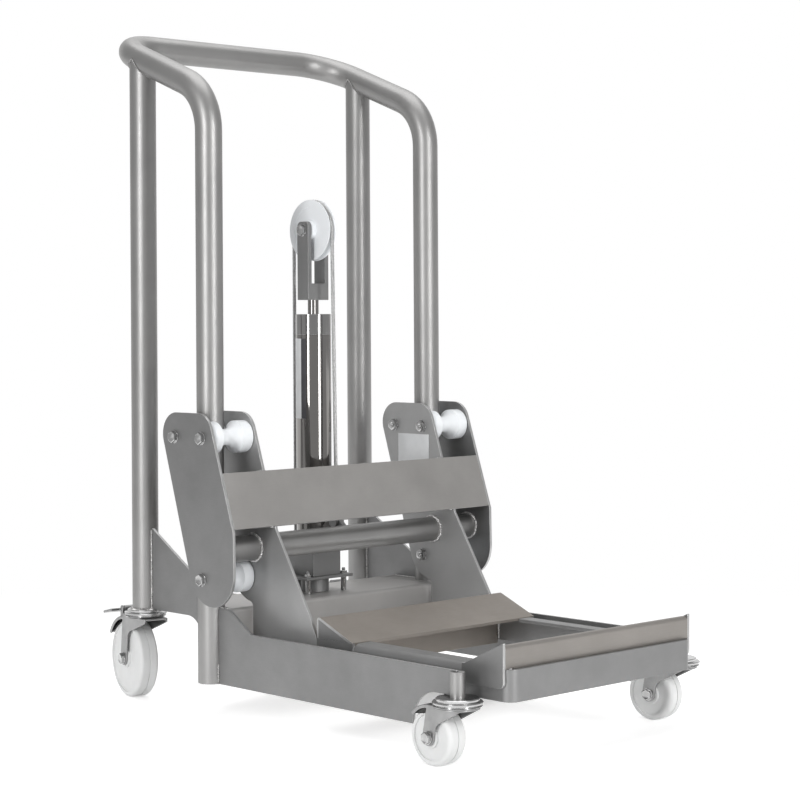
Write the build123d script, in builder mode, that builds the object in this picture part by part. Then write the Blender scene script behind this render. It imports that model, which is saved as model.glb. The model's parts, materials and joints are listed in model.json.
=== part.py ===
"""Roll handler: a lift trolley whose cradle rides up and down on the front posts of a bent-tube mast.

Millimetres, +Z up, the cradle towards -Y and the handle towards +Y. The origin is on the floor,
under the middle of the whole object.
"""

import os
from math import cos, hypot, radians, sin, sqrt, tan
from typing import NamedTuple

from build123d import *

os.makedirs("parts", exist_ok=True)

# Fits
running_gap = 0.3
shaft_gap = 0.05
weld_gap = 0.02

# Sheet and plate stock
plate_t = 5.0
sheet_t = 4.0

# Mast tube
tube_d = 42.4
tube_wall = 2.6
post_pitch = 466.0
post_foot_z = 50.0
knee_z = 966.0
knee_r = 88.0
arm_rise = 21.3
bar_setback = 250.0
bar_corner_r = 75.0
rear_post_setback = 172.0

# Gusset plates between the front and rear posts
gusset_lift = 0.4
gusset_rise = 31.0
gusset_low_z = 188.0
gusset_flare_r = 36.0

# Side legs
leg_reach = 543.5
leg_top_z = 134.5
ear_top_z = 167.0
ear_reach = 48.0
ear_run = 52.0
ear_nose_r = 15.0
ear_throat_r = 80.0
leg_toe_gap = 8.5
leg_toe_lift = 1.5
leg_toe_r = 46.0

# Cross beam
beam_top_z = 168.0
beam_reach = 45.0
beam_setback = 82.0
beam_front_h = 60.0
beam_rear_h = 18.0
beam_bend_r = 6.0

# Casters
front_wheel_d = 80.0
front_wheel_w = 33.0
front_trail = 38.0
front_mount_z = 98.0
front_head_d = 71.0
front_roof_from = 42.0
front_nose = 23.0
front_skirt = 4.0
front_throat_drop = 23.0
front_throat_r = 14.0
rear_wheel_d = 125.0
rear_wheel_w = 32.0
rear_trail = 46.0
rear_mount_z = 148.0
rear_head_d = 68.0
rear_roof_from = 32.0
rear_nose = 40.0
rear_skirt = 7.0
rear_throat_drop = 23.0
rear_throat_r = 18.0
front_left_yaw = 1.0
front_right_yaw = -5.0
rear_left_yaw = 12.7
rear_right_yaw = 0.0
stem_d = 21.0
stem_top_z = 132.5
head_h = 12.0
head_step = 5.0
king_d = 12.0
fork_t = 3.0
fork_side_gap = 1.5
fork_tread_gap = 2.5
fork_boss_r = 11.5
fork_flange = 2.0
fork_throat_step = 4.0
fork_lean = 2.0
crown_inset = 4.0
axle_d = 10.0
axle_head_d = 17.0
axle_head_h = 6.0
wheel_hub_d = 30.0
wheel_dish = 2.5
wheel_rim_t = 8.0
wheel_edge_r = 6.0
tread_groove_w = 1.6
tread_groove_depth = 1.2

# Brake pedals on the rear casters
brake_pin_d = 5.0
brake_pivot_run = 60.0
brake_pivot_lift = 6.0
brake_ear_t = 4.0
brake_eye_r = 5.0
brake_lever_w = 26.0
brake_lever_t = 4.0
brake_lever_run = 52.0
brake_slope = 12.0
brake_pad_w = 56.0
brake_pad_run = 34.0

# Carriage plates and rollers
gauge_half = 39.0
plate_top_z = 470.0
plate_corner_r = 34.0
plate_corner_setback = 30.0
plate_corner_reach = 25.0
plate_knuckle_reach = 106.0
plate_knuckle_z = 292.0
plate_knuckle_r = 4.0
plate_base_reach = 57.0
plate_base_z = 230.0
plate_base_r = 54.0
roller_d = 50.0
roller_neck_d = 25.0
roller_end_gap = 1.0
roller_edge_r = 9.0
roller_throat_r = 5.0
roller_top_z = 432.0
roller_low_z = 216.0
bolt_d = 10.0
bolt_head_d = 17.0
bolt_head_h = 5.0

# Arms, running down and forward from the inner carriage plates
arm_notch_reach = 54.0
arm_notch_r = 8.0
arm_elbow_reach = 188.0
arm_elbow_z = 168.0
arm_shoulder_reach = 105.0
arm_shoulder_z = 300.0
arm_end_reach = 204.0
arm_throat_z = 200.0

# Cross members of the carriage
cross_plate_low_z = 297.5
cross_plate_w = 88.0
cross_tube_d = 40.0
cross_tube_wall = 3.0
cross_tube_reach = 58.0
cross_tube_z = 261.0

# Cradle
band_foot_z = 92.0
band_h = 45.0
band_reach = 606.0
band_corner_r = 16.0
band_flange = 36.0
band_bend_r = 14.0
ramp_step = 1.0
ramp_run = 80.0
ramp_apex_z = 171.0
ramp_foot_z = 87.0
wedge_inset = 9.0
wedge_run = 75.0
wedge_apex_z = 173.0
wedge_foot_z = 112.0
slope_toe_z = 138.0
apex_r = 6.0
cheek_foot_z = 110.5
cheek_corner_r = 8.0
cheek_tail = 5.0

# Lift cylinder and what it stands on
cylinder_setback = 24.4
cylinder_d = 58.0
cylinder_wall = 5.0
cylinder_foot_z = 240.0
gland_z = 587.0
gland_top_z = 621.0
gland_spigot = 22.0
rod_d = 18.0
piston_foot_z = 250.0
piston_h = 24.0
block_w = 59.0
block_depth = 61.0
foot_plate_w = 100.0
foot_plate_reach = 14.0
foot_plate_setback = 60.0
foot_plate_z = 191.0
foot_plate_t = 4.5
foot_boss_d = 46.0
stud_d = 6.0
stud_pitch_x = 76.0
stud_pitch_y = 56.0
spacer_d = 9.0
dome_nut_af = 10.0
dome_nut_h = 6.5

# Clevis, pulley and rope
clevis_w = 44.0
clevis_depth = 27.0
clevis_foot_z = 644.0
clevis_slot_z = 671.0
clevis_top_z = 772.0
clevis_arm_t = 8.0
clevis_corner_r = 8.0
clevis_socket = 15.0
pulley_z = 758.0
pulley_d = 100.0
pulley_w = 14.0
pulley_hub_d = 32.0
pulley_web_t = 12.4
pulley_rim_h = 12.0
pulley_lip_t = 1.6
pulley_pin_d = 12.0
pulley_head_d = 18.0
pulley_head_h = 5.0
rope_d = 6.0
rope_pitch_r = 47.5
rope_pin_reach = 30.0
rope_pin_z = 285.0
anchor_pin_rise = 30.0
lug_t = 8.0
lug_r = 9.0
rope_pin_d = 8.0
rope_fork_t = 4.0
rope_fork_neck = 14.0
rope_barrel_d = 12.0
rope_barrel_h = 32.0

# Foot pump behind the beam
pump_w = 60.0
pump_depth = 52.0
pump_foot_z = 105.0
pump_top_z = 165.0
pump_ear_t = 4.5
pump_pivot_z = 186.0
pump_pivot_run = 14.0
pump_pin_d = 8.0
lever_w = 16.0
lever_t = 8.0
lever_run = 166.0
pedal_w = 80.0
pedal_depth = 46.0
pedal_corner_r = 6.0
plunger_run = 22.0
plunger_d = 14.0
plunger_tip_r = 3.0
plunger_sink = 40.0
plunger_travel = 8.0
pipe_d = 8.0
pipe_wall = 1.5
pipe_x = 22.0
pipe_z = 216.0
pipe_bend_r = 15.0
pipe_inset = 10.0
release_drop = 22.0
release_inset = 30.0
release_w = 10.0
release_t = 6.0
release_run = 100.0
release_pad = 26.0
release_pin_d = 8.0

# Places worked out from the sizes above
tube_r = tube_d / 2
post_x = post_pitch / 2
brake_drop = radians(brake_slope)
brake_tip_run = brake_pivot_run + brake_lever_run * cos(brake_drop) + brake_lever_t / 2 * sin(brake_drop)
pad_turn = radians(rear_left_yaw)
pad_setback = rear_post_setback + brake_tip_run * cos(pad_turn) + brake_pad_w / 2 * sin(pad_turn)
mast_y = (band_reach - pad_setback) / 2
roller_offset = tube_r + roller_neck_d / 2 + running_gap
outer_x = post_x + gauge_half
inner_x = post_x - gauge_half
leg_half_t = plate_t / 2
leg_toe_reach = leg_reach - front_trail - front_wheel_d / 2 - leg_toe_gap
leg_toe_z = front_mount_z + leg_toe_lift
beam_half = post_x - leg_half_t
band_top_z = band_foot_z + band_h
cradle_half = inner_x
cradle_inner = cradle_half - plate_t
ramp_reach = arm_end_reach + ramp_step
ramp_toe_reach = ramp_reach + ramp_run
wedge_reach = band_reach - wedge_inset
wedge_toe_reach = wedge_reach - wedge_run
foot_plate_top_z = foot_plate_z + foot_plate_t
rope_r = rope_d / 2
gusset_foot_z = rear_mount_z + gusset_lift
wedge_leg_half = cradle_inner - band_corner_r + plate_t


def fwd(reach):
    """Y of a place this far in front of the front posts."""
    return mast_y - reach


def aft(setback):
    """Y of a place this far behind the front posts."""
    return mast_y + setback


def arm_z(setback):
    """Height of the handle arm's centre line this far behind the front posts."""
    return knee_z + setback * tan(radians(arm_rise))


bar_y = aft(bar_setback)
bar_z = arm_z(bar_setback)
rear_post_y = aft(rear_post_setback)
front_caster_y = fwd(leg_reach)
cylinder_y = aft(cylinder_setback)
rope_front_y = cylinder_y - rope_pitch_r
rope_rear_y = cylinder_y + rope_pitch_r
anchor_pin_z = beam_top_z + anchor_pin_rise
pump_y = aft(beam_setback)
pump_pivot_y = pump_y + pump_pivot_run
plunger_y = pump_pivot_y + plunger_run


def save(piece, label):
    """Name a finished piece and write it."""
    piece.part.label = label
    export_step(piece.part, f"parts/{label}.step")


def bent_route(points, radii):
    """Lines through the points, with a tangent arc of the given radius at each inner point."""
    start = Vector(*points[0])
    for here, before, after, radius in zip(points[1:-1], points[:-2], points[2:], radii):
        corner = Vector(*here)
        back = (Vector(*before) - corner).normalized()
        ahead = (Vector(*after) - corner).normalized()
        half = radians(back.get_angle(ahead)) / 2
        run = radius / tan(half)
        enter = corner + back * run
        leave = corner + ahead * run
        middle = (back + ahead).normalized()
        crest = corner + middle * (radius / sin(half) - radius)
        Line(start, enter)
        ThreePointArc(enter, crest, leave)
        start = leave
    Line(start, Vector(*points[-1]))


def front_posts(mode, gap=weld_gap):
    """The two front posts as full cylinders, to cut what is fitted round them."""
    with Locations((-post_x, mast_y, knee_z / 2), (post_x, mast_y, knee_z / 2)):
        Cylinder(tube_r + gap, knee_z, mode=mode)


# Mast: one bent tube makes both front posts, both arms and the handle bar
mast_points = [
    (-post_x, mast_y, post_foot_z),
    (-post_x, mast_y, knee_z),
    (-post_x, bar_y, bar_z),
    (post_x, bar_y, bar_z),
    (post_x, mast_y, knee_z),
    (post_x, mast_y, post_foot_z),
]
mast_radii = [knee_r, bar_corner_r, bar_corner_r, knee_r]


def make_mast_loop():
    with BuildPart() as mast_loop:
        with BuildLine() as route:
            bent_route(mast_points, mast_radii)
        with BuildSketch(Plane(origin=mast_points[0], z_dir=(0, 0, 1))):
            Circle(tube_r)
            Circle(tube_r - tube_wall, mode=Mode.SUBTRACT)
        sweep(path=route.wires()[0])
    save(mast_loop, "mast_loop")


def make_rear_posts():
    """Two posts, each coped to sit under its arm."""
    with BuildPart() as rear_posts:
        with BuildSketch(Plane.XY.offset(rear_mount_z)):
            with Locations((-post_x, rear_post_y), (post_x, rear_post_y)):
                Circle(tube_r)
                Circle(tube_r - tube_wall, mode=Mode.SUBTRACT)
        extrude(amount=arm_z(rear_post_setback) - rear_mount_z)
        with BuildLine() as route:
            bent_route(mast_points, mast_radii)
        with BuildSketch(Plane(origin=mast_points[0], z_dir=(0, 0, 1))):
            Circle(tube_r + weld_gap)
        sweep(path=route.wires()[0], mode=Mode.SUBTRACT)
    save(rear_posts, "rear_posts")


def make_gusset_plates():
    rear_top_z = gusset_low_z + rear_post_setback * tan(radians(gusset_rise))
    flare_y = mast_y + tube_r + gusset_flare_r
    flare_foot_z = gusset_foot_z - gusset_flare_r
    with BuildPart() as gusset_plates:
        for side in (-1, 1):
            with BuildSketch(Plane.YZ.offset(side * post_x)):
                with BuildLine():
                    Polyline(
                        (flare_y, gusset_foot_z),
                        (rear_post_y, gusset_foot_z),
                        (rear_post_y, rear_top_z),
                        (mast_y, gusset_low_z),
                        (mast_y, flare_foot_z),
                        (mast_y + tube_r, flare_foot_z),
                    )
                    RadiusArc((mast_y + tube_r, flare_foot_z), (flare_y, gusset_foot_z), gusset_flare_r)
                make_face()
            extrude(amount=leg_half_t, both=True)
        front_posts(Mode.SUBTRACT)
        with Locations((-post_x, rear_post_y, knee_z / 2), (post_x, rear_post_y, knee_z / 2)):
            Cylinder(tube_r + weld_gap, knee_z, mode=Mode.SUBTRACT)
    save(gusset_plates, "gusset_plates")


# Side legs
def make_side_leg(side, label):
    with BuildPart() as side_leg:
        with BuildSketch(Plane.YZ.offset(side * post_x)) as outline:
            with BuildLine():
                Polyline(
                    (mast_y, post_foot_z),
                    (fwd(leg_toe_reach), post_foot_z),
                    (fwd(leg_toe_reach), leg_toe_z),
                    (front_caster_y, leg_toe_z),
                    (front_caster_y, leg_top_z),
                    (fwd(ear_reach + ear_run), leg_top_z),
                    (fwd(ear_reach), ear_top_z),
                    (mast_y, ear_top_z),
                    close=True,
                )
            make_face()
            corners = outline.vertices()
            fillet(corners.sort_by_distance((fwd(leg_toe_reach), leg_toe_z))[0], leg_toe_r)
            fillet(corners.sort_by_distance((fwd(ear_reach), ear_top_z))[0], ear_nose_r)
            fillet(corners.sort_by_distance((fwd(ear_reach + ear_run), leg_top_z))[0], ear_throat_r)
        extrude(amount=leg_half_t, both=True)
        with Locations((side * post_x, front_caster_y, 0)):
            Cylinder(stem_d / 2 + weld_gap, stem_top_z, mode=Mode.SUBTRACT,
                     align=(Align.CENTER, Align.CENTER, Align.MIN))
        front_posts(Mode.SUBTRACT)
    save(side_leg, label)


def make_front_stems():
    with BuildPart() as front_stems:
        with BuildSketch(Plane.XY.offset(front_mount_z)):
            with Locations((-post_x, front_caster_y), (post_x, front_caster_y)):
                Circle(stem_d / 2)
        extrude(amount=stem_top_z - front_mount_z)
    save(front_stems, "front_stems")


# Cross beam: a folded channel between the legs, cut round the front posts
def make_cross_beam():
    front_y = fwd(beam_reach)
    rear_y = aft(beam_setback)
    with BuildPart() as cross_beam:
        with BuildSketch(Plane.YZ.offset(-beam_half)) as section:
            with BuildLine():
                Polyline(
                    (front_y, beam_top_z - beam_front_h),
                    (front_y, beam_top_z),
                    (rear_y, beam_top_z),
                    (rear_y, beam_top_z - beam_rear_h),
                    (rear_y - sheet_t, beam_top_z - beam_rear_h),
                    (rear_y - sheet_t, beam_top_z - sheet_t),
                    (front_y + sheet_t, beam_top_z - sheet_t),
                    (front_y + sheet_t, beam_top_z - beam_front_h),
                    close=True,
                )
            make_face()
            bends = section.vertices()
            for bend_y in (front_y, rear_y):
                fillet(bends.sort_by_distance((bend_y, beam_top_z))[0], beam_bend_r)
        extrude(amount=2 * beam_half)
        front_posts(Mode.SUBTRACT)
    save(cross_beam, "cross_beam")


# Casters
class Caster(NamedTuple):
    """One swivel caster: where it stands, where it trails and its sizes."""

    x: float
    y: float
    yaw: float
    wheel_d: float
    wheel_w: float
    trail: float
    mount_z: float
    head_d: float
    roof_from: float
    nose: float
    skirt: float
    throat_drop: float
    throat_r: float

    @property
    def crown_z(self):
        """Top of the fork, under the fixed head."""
        return self.mount_z - head_h - running_gap

    @property
    def inner_half(self):
        """Half the room between the fork legs."""
        return self.wheel_w / 2 + fork_side_gap

    @property
    def outer_half(self):
        """Half the width over the fork legs."""
        return self.inner_half + fork_t

    @property
    def axle(self):
        """Direction of the axle."""
        return (cos(radians(self.yaw)), -sin(radians(self.yaw)), 0)

    @property
    def trailing(self):
        """Direction from the swivel axis to the wheel."""
        return (sin(radians(self.yaw)), cos(radians(self.yaw)), 0)

    def side_plane(self, offset=0.0):
        """Plane of the wheel: x runs back along the trail, y runs up from the floor."""
        return Plane(origin=(self.x, self.y, 0), x_dir=self.trailing, z_dir=self.axle).offset(offset)

    def wheel_plane(self):
        """Plane through the axle: x runs along it, y runs up from it."""
        centre = (self.x + self.trail * self.trailing[0], self.y + self.trail * self.trailing[1])
        facing = (-self.trailing[0], -self.trailing[1], 0)
        return Plane(origin=(*centre, self.wheel_d / 2), x_dir=self.axle, z_dir=facing)


def front_caster(side, yaw):
    return Caster(side * post_x, front_caster_y, yaw, front_wheel_d, front_wheel_w, front_trail,
                  front_mount_z, front_head_d, front_roof_from, front_nose, front_skirt,
                  front_throat_drop, front_throat_r)


def rear_caster(side, yaw):
    return Caster(side * post_x, rear_post_y, yaw, rear_wheel_d, rear_wheel_w, rear_trail,
                  rear_mount_z, rear_head_d, rear_roof_from, rear_nose, rear_skirt,
                  rear_throat_drop, rear_throat_r)


casters = {
    "front_left": front_caster(-1, front_left_yaw),
    "front_right": front_caster(1, front_right_yaw),
    "rear_left": rear_caster(-1, rear_left_yaw),
    "rear_right": rear_caster(1, rear_right_yaw),
}


def make_caster_heads():
    with BuildPart() as caster_heads:
        for caster in casters.values():
            foot_z = caster.mount_z - head_h
            with BuildSketch(Plane((caster.x, caster.y, foot_z))):
                Circle(caster.head_d / 2)
                Circle(king_d / 2 + shaft_gap, mode=Mode.SUBTRACT)
            extrude(amount=head_h / 2)
            with BuildSketch(Plane((caster.x, caster.y, foot_z + head_h / 2))):
                Circle(caster.head_d / 2 - head_step)
                Circle(king_d / 2 + shaft_gap, mode=Mode.SUBTRACT)
            extrude(amount=head_h / 2)
    save(caster_heads, "caster_heads")


def brake_pivot(caster):
    """Place of the brake pedal's pin on the caster's side plane."""
    return brake_pivot_run, caster.crown_z + brake_pivot_lift


def make_fork(caster, label, braked):
    """Pressed fork: crown, two legs and a roof over the wheel, with the king pin it turns on."""
    wheel_r = caster.wheel_d / 2
    crown_r = caster.head_d / 2 - crown_inset
    roof_r = wheel_r + fork_tread_gap
    hub = (caster.trail, wheel_r)
    skirt_z = caster.crown_z - caster.skirt
    throat = (caster.trail - fork_boss_r - fork_throat_step, skirt_z - caster.throat_drop)
    side_plane = caster.side_plane()
    with BuildPart() as fork:
        with BuildSketch(side_plane) as leg:
            with BuildLine():
                Polyline(
                    (-caster.nose, caster.crown_z),
                    (-caster.nose, skirt_z),
                    throat,
                    (caster.trail - fork_boss_r, wheel_r),
                    (caster.trail + fork_boss_r, wheel_r),
                    (caster.trail + fork_lean, caster.crown_z),
                    close=True,
                )
            make_face()
            fillet(leg.vertices().sort_by_distance(throat)[0], caster.throat_r)
            with Locations(hub):
                Circle(fork_boss_r)
        extrude(amount=caster.outer_half, both=True)
        with BuildSketch(side_plane):
            with BuildLine():
                sweep_deg = 90 - caster.roof_from
                inner = CenterArc(hub, roof_r - fork_flange, caster.roof_from, sweep_deg)
                outer = CenterArc(hub, roof_r + fork_t, caster.roof_from, sweep_deg)
                Line(inner @ 0, outer @ 0)
                Line(inner @ 1, outer @ 1)
            make_face()
        extrude(amount=caster.outer_half, both=True)
        with BuildSketch(side_plane):
            with Locations(hub):
                Circle(roof_r)
            with Locations((caster.trail, caster.crown_z - fork_t)):
                Rectangle(4 * caster.wheel_d, 2 * caster.mount_z, align=(Align.MAX, Align.MAX))
        extrude(amount=caster.inner_half, both=True, mode=Mode.SUBTRACT)
        with BuildSketch(Plane((caster.x, caster.y, caster.crown_z))):
            Circle(crown_r)
        extrude(amount=-fork_t)
        with BuildSketch(Plane((caster.x, caster.y, caster.crown_z))):
            Circle(king_d / 2)
        extrude(amount=head_h)
        if braked:
            pivot = brake_pivot(caster)
            ear_foot_z = wheel_r + sqrt(roof_r**2 - (brake_pivot_run + brake_eye_r - caster.trail) ** 2)
            for side in (-1, 1):
                with BuildSketch(caster.side_plane(side * (brake_lever_w / 2 + running_gap))):
                    with Locations(pivot):
                        Circle(brake_eye_r)
                    with Locations((brake_pivot_run, ear_foot_z)):
                        Rectangle(2 * brake_eye_r, fork_t, align=(Align.CENTER, Align.MIN))
                    make_hull()
                    with Locations(pivot):
                        Circle(brake_pin_d / 2 + shaft_gap, mode=Mode.SUBTRACT)
                extrude(amount=side * brake_ear_t)
        with BuildSketch(side_plane):
            with Locations(hub):
                Circle(axle_d / 2 + weld_gap)
        extrude(amount=2 * caster.outer_half, both=True, mode=Mode.SUBTRACT)
    save(fork, f"caster_fork_{label}")


def make_axle(caster, label):
    with BuildPart() as caster_axle:
        with BuildSketch(caster.side_plane()):
            with Locations((caster.trail, caster.wheel_d / 2)):
                Circle(axle_d / 2)
        extrude(amount=caster.outer_half, both=True)
        for side in (-1, 1):
            with BuildSketch(caster.side_plane(side * caster.outer_half)):
                with Locations((caster.trail, caster.wheel_d / 2)):
                    RegularPolygon(axle_head_d / 2, 6)
            extrude(amount=side * axle_head_h)
    save(caster_axle, f"caster_axle_{label}")


def make_wheel(caster, label):
    wheel_r = caster.wheel_d / 2
    half_w = caster.wheel_w / 2
    hub_half = caster.inner_half - running_gap
    rim_r = wheel_r - wheel_rim_t
    web_half = half_w - wheel_dish
    with BuildPart() as caster_wheel:
        with BuildSketch(caster.wheel_plane()) as section:
            with BuildLine():
                Polyline(
                    (-hub_half, axle_d / 2 + shaft_gap),
                    (-hub_half, wheel_hub_d / 2),
                    (-web_half, wheel_hub_d / 2),
                    (-web_half, rim_r),
                    (-half_w, rim_r),
                    (-half_w, wheel_r),
                    (-tread_groove_w / 2, wheel_r),
                    (-tread_groove_w / 2, wheel_r - tread_groove_depth),
                    (tread_groove_w / 2, wheel_r - tread_groove_depth),
                    (tread_groove_w / 2, wheel_r),
                    (half_w, wheel_r),
                    (half_w, rim_r),
                    (web_half, rim_r),
                    (web_half, wheel_hub_d / 2),
                    (hub_half, wheel_hub_d / 2),
                    (hub_half, axle_d / 2 + shaft_gap),
                    close=True,
                )
            make_face()
            for edge in (-half_w, half_w):
                fillet(section.vertices().sort_by_distance((edge, wheel_r))[0], wheel_edge_r)
        revolve(axis=Axis(caster.wheel_plane().origin, caster.axle))
    save(caster_wheel, f"caster_wheel_{label}")


def make_brake_pedal(caster, label):
    run, rise = brake_pivot(caster)
    pad_from = brake_lever_run - brake_pad_run
    pad_place = (run + pad_from * cos(brake_drop), rise - pad_from * sin(brake_drop))
    with BuildPart() as brake_pedal:
        with BuildSketch(caster.side_plane()):
            with Locations((run, rise)):
                Circle(brake_eye_r - running_gap)
                Rectangle(brake_lever_run, brake_lever_t, -brake_slope, align=(Align.MIN, Align.CENTER))
        extrude(amount=brake_lever_w / 2, both=True)
        with BuildSketch(caster.side_plane()):
            with Locations(pad_place):
                Rectangle(brake_pad_run, brake_lever_t, -brake_slope, align=(Align.MIN, Align.CENTER))
        extrude(amount=brake_pad_w / 2, both=True)
        with BuildSketch(caster.side_plane()):
            with Locations((run, rise)):
                Circle(brake_pin_d / 2)
        extrude(amount=brake_lever_w / 2 + running_gap + brake_ear_t, both=True)
    save(brake_pedal, f"brake_pedal_{label}")


# Carriage
roller_places = {
    "top_front": (-roller_offset, roller_top_z),
    "top_rear": (roller_offset, roller_top_z),
    "low": (-roller_offset, roller_low_z),
}


def front_edge():
    """A point on the carriage plates' slanted front edge and the edge's outward normal, as (Y, Z)."""
    corner = (fwd(plate_corner_reach), plate_top_z - plate_corner_r)
    knuckle = (fwd(plate_knuckle_reach), plate_knuckle_z)
    run = (knuckle[0] - corner[0], knuckle[1] - corner[1])
    length = hypot(*run)
    along = (run[0] / length, run[1] / length)
    lean = (plate_corner_r - plate_knuckle_r) / length
    square = sqrt(1 - lean * lean)
    normal = (lean * along[0] + square * along[1], lean * along[1] - square * along[0])
    return (knuckle[0] + plate_knuckle_r * normal[0], knuckle[1] + plate_knuckle_r * normal[1]), normal


def cross_plate_plane():
    """Plane of the cross plate's front face, its origin at the middle of the lower edge."""
    point, normal = front_edge()
    climb = (cross_plate_low_z - point[1]) / -normal[0]
    place = (0, point[0] + climb * normal[1], cross_plate_low_z)
    return Plane(origin=place, x_dir=(1, 0, 0), z_dir=(0, *normal))


def carriage_outline():
    """Side outline shared by the outer and inner carriage plates."""
    with Locations((aft(plate_corner_setback), plate_top_z - plate_corner_r)):
        Circle(plate_corner_r)
    with Locations((fwd(plate_corner_reach), plate_top_z - plate_corner_r)):
        Circle(plate_corner_r)
    with Locations((fwd(plate_knuckle_reach), plate_knuckle_z)):
        Circle(plate_knuckle_r)
    with Locations((fwd(plate_base_reach), plate_base_z)):
        Circle(plate_base_r)
    make_hull()


def roller_bolt_holes():
    with Locations(*[(mast_y + y, z) for y, z in roller_places.values()]):
        Circle(bolt_d / 2 + weld_gap, mode=Mode.SUBTRACT)


def make_outer_plate(side, label):
    with BuildPart() as outer_plate:
        with BuildSketch(Plane.YZ.offset(side * outer_x)):
            carriage_outline()
            roller_bolt_holes()
        extrude(amount=side * plate_t)
    save(outer_plate, label)


def make_arm_plate(side, label):
    with BuildPart() as arm_plate:
        with BuildSketch(Plane.YZ.offset(side * inner_x)) as outline:
            carriage_outline()
            with BuildLine():
                Polyline(
                    (fwd(arm_notch_reach), arm_throat_z),
                    (fwd(arm_notch_reach), band_foot_z),
                    (fwd(arm_end_reach), band_foot_z),
                    (fwd(arm_end_reach), band_top_z),
                    (fwd(arm_elbow_reach), arm_elbow_z),
                    (fwd(arm_shoulder_reach), arm_shoulder_z),
                    close=True,
                )
            make_face()
            notch = (fwd(arm_notch_reach), plate_base_z - plate_base_r)
            fillet(outline.vertices().sort_by_distance(notch)[0], arm_notch_r)
            roller_bolt_holes()
            with Locations((fwd(cross_tube_reach), cross_tube_z)):
                Circle(cross_tube_d / 2 + weld_gap, mode=Mode.SUBTRACT)
        extrude(amount=-side * plate_t)
        with BuildSketch(cross_plate_plane()):
            Rectangle(2 * outer_x, cross_plate_w, align=(Align.CENTER, Align.MIN))
        extrude(amount=-plate_t - weld_gap, mode=Mode.SUBTRACT)
    save(arm_plate, label)


def make_cross_plate():
    with BuildPart() as cross_plate:
        with BuildSketch(cross_plate_plane()):
            Rectangle(2 * outer_x, cross_plate_w, align=(Align.CENTER, Align.MIN))
        extrude(amount=-plate_t)
    save(cross_plate, "cross_plate")


def make_cross_tube():
    with BuildPart() as cross_tube:
        with BuildSketch(Plane.YZ.offset(-outer_x)):
            with Locations((fwd(cross_tube_reach), cross_tube_z)):
                Circle(cross_tube_d / 2)
                Circle(cross_tube_d / 2 - cross_tube_wall, mode=Mode.SUBTRACT)
        extrude(amount=2 * outer_x)
    save(cross_tube, "cross_tube")


def make_roller(side, place, label):
    half = gauge_half - roller_end_gap
    rim_r = roller_d / 2
    groove_r = tube_r + running_gap
    mouth = sqrt(groove_r**2 - (roller_offset - rim_r) ** 2)
    y, z = place
    middle = (side * post_x, mast_y + y, z)
    with BuildPart() as roller:
        with BuildSketch(Plane(origin=middle, x_dir=(1, 0, 0), z_dir=(0, -1, 0))) as section:
            with BuildLine():
                Polyline(
                    (-mouth, rim_r),
                    (-half, rim_r),
                    (-half, bolt_d / 2 + shaft_gap),
                    (half, bolt_d / 2 + shaft_gap),
                    (half, rim_r),
                    (mouth, rim_r),
                )
                ThreePointArc((mouth, rim_r), (0, roller_offset - groove_r), (-mouth, rim_r))
            make_face()
            corners = section.vertices()
            for end in (-1, 1):
                fillet(corners.sort_by_distance((end * half, rim_r))[0], roller_edge_r)
                fillet(corners.sort_by_distance((end * mouth, rim_r))[0], roller_throat_r)
        revolve(axis=Axis(middle, (1, 0, 0)))
    save(roller, label)


def make_roller_bolts():
    shank_outer = gauge_half + plate_t
    shank_inner = gauge_half + plate_t + bolt_head_h
    with BuildPart() as roller_bolts:
        for side in (-1, 1):
            for y, z in roller_places.values():
                place = (mast_y + y, z)
                with BuildSketch(Plane.YZ.offset(side * (post_x - shank_inner))):
                    with Locations(place):
                        Circle(bolt_d / 2)
                extrude(amount=side * (shank_inner + shank_outer))
                with BuildSketch(Plane.YZ.offset(side * (post_x + shank_outer))):
                    with Locations(place):
                        Circle(bolt_head_d / 2)
                extrude(amount=side * bolt_head_h)
                with BuildSketch(Plane.YZ.offset(side * (post_x - shank_outer))):
                    with Locations(place):
                        RegularPolygon(bolt_head_d / 2, 6)
                        Circle(bolt_d / 2 + weld_gap, mode=Mode.SUBTRACT)
                extrude(amount=-side * bolt_head_h)
    save(roller_bolts, "roller_bolts")


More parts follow.
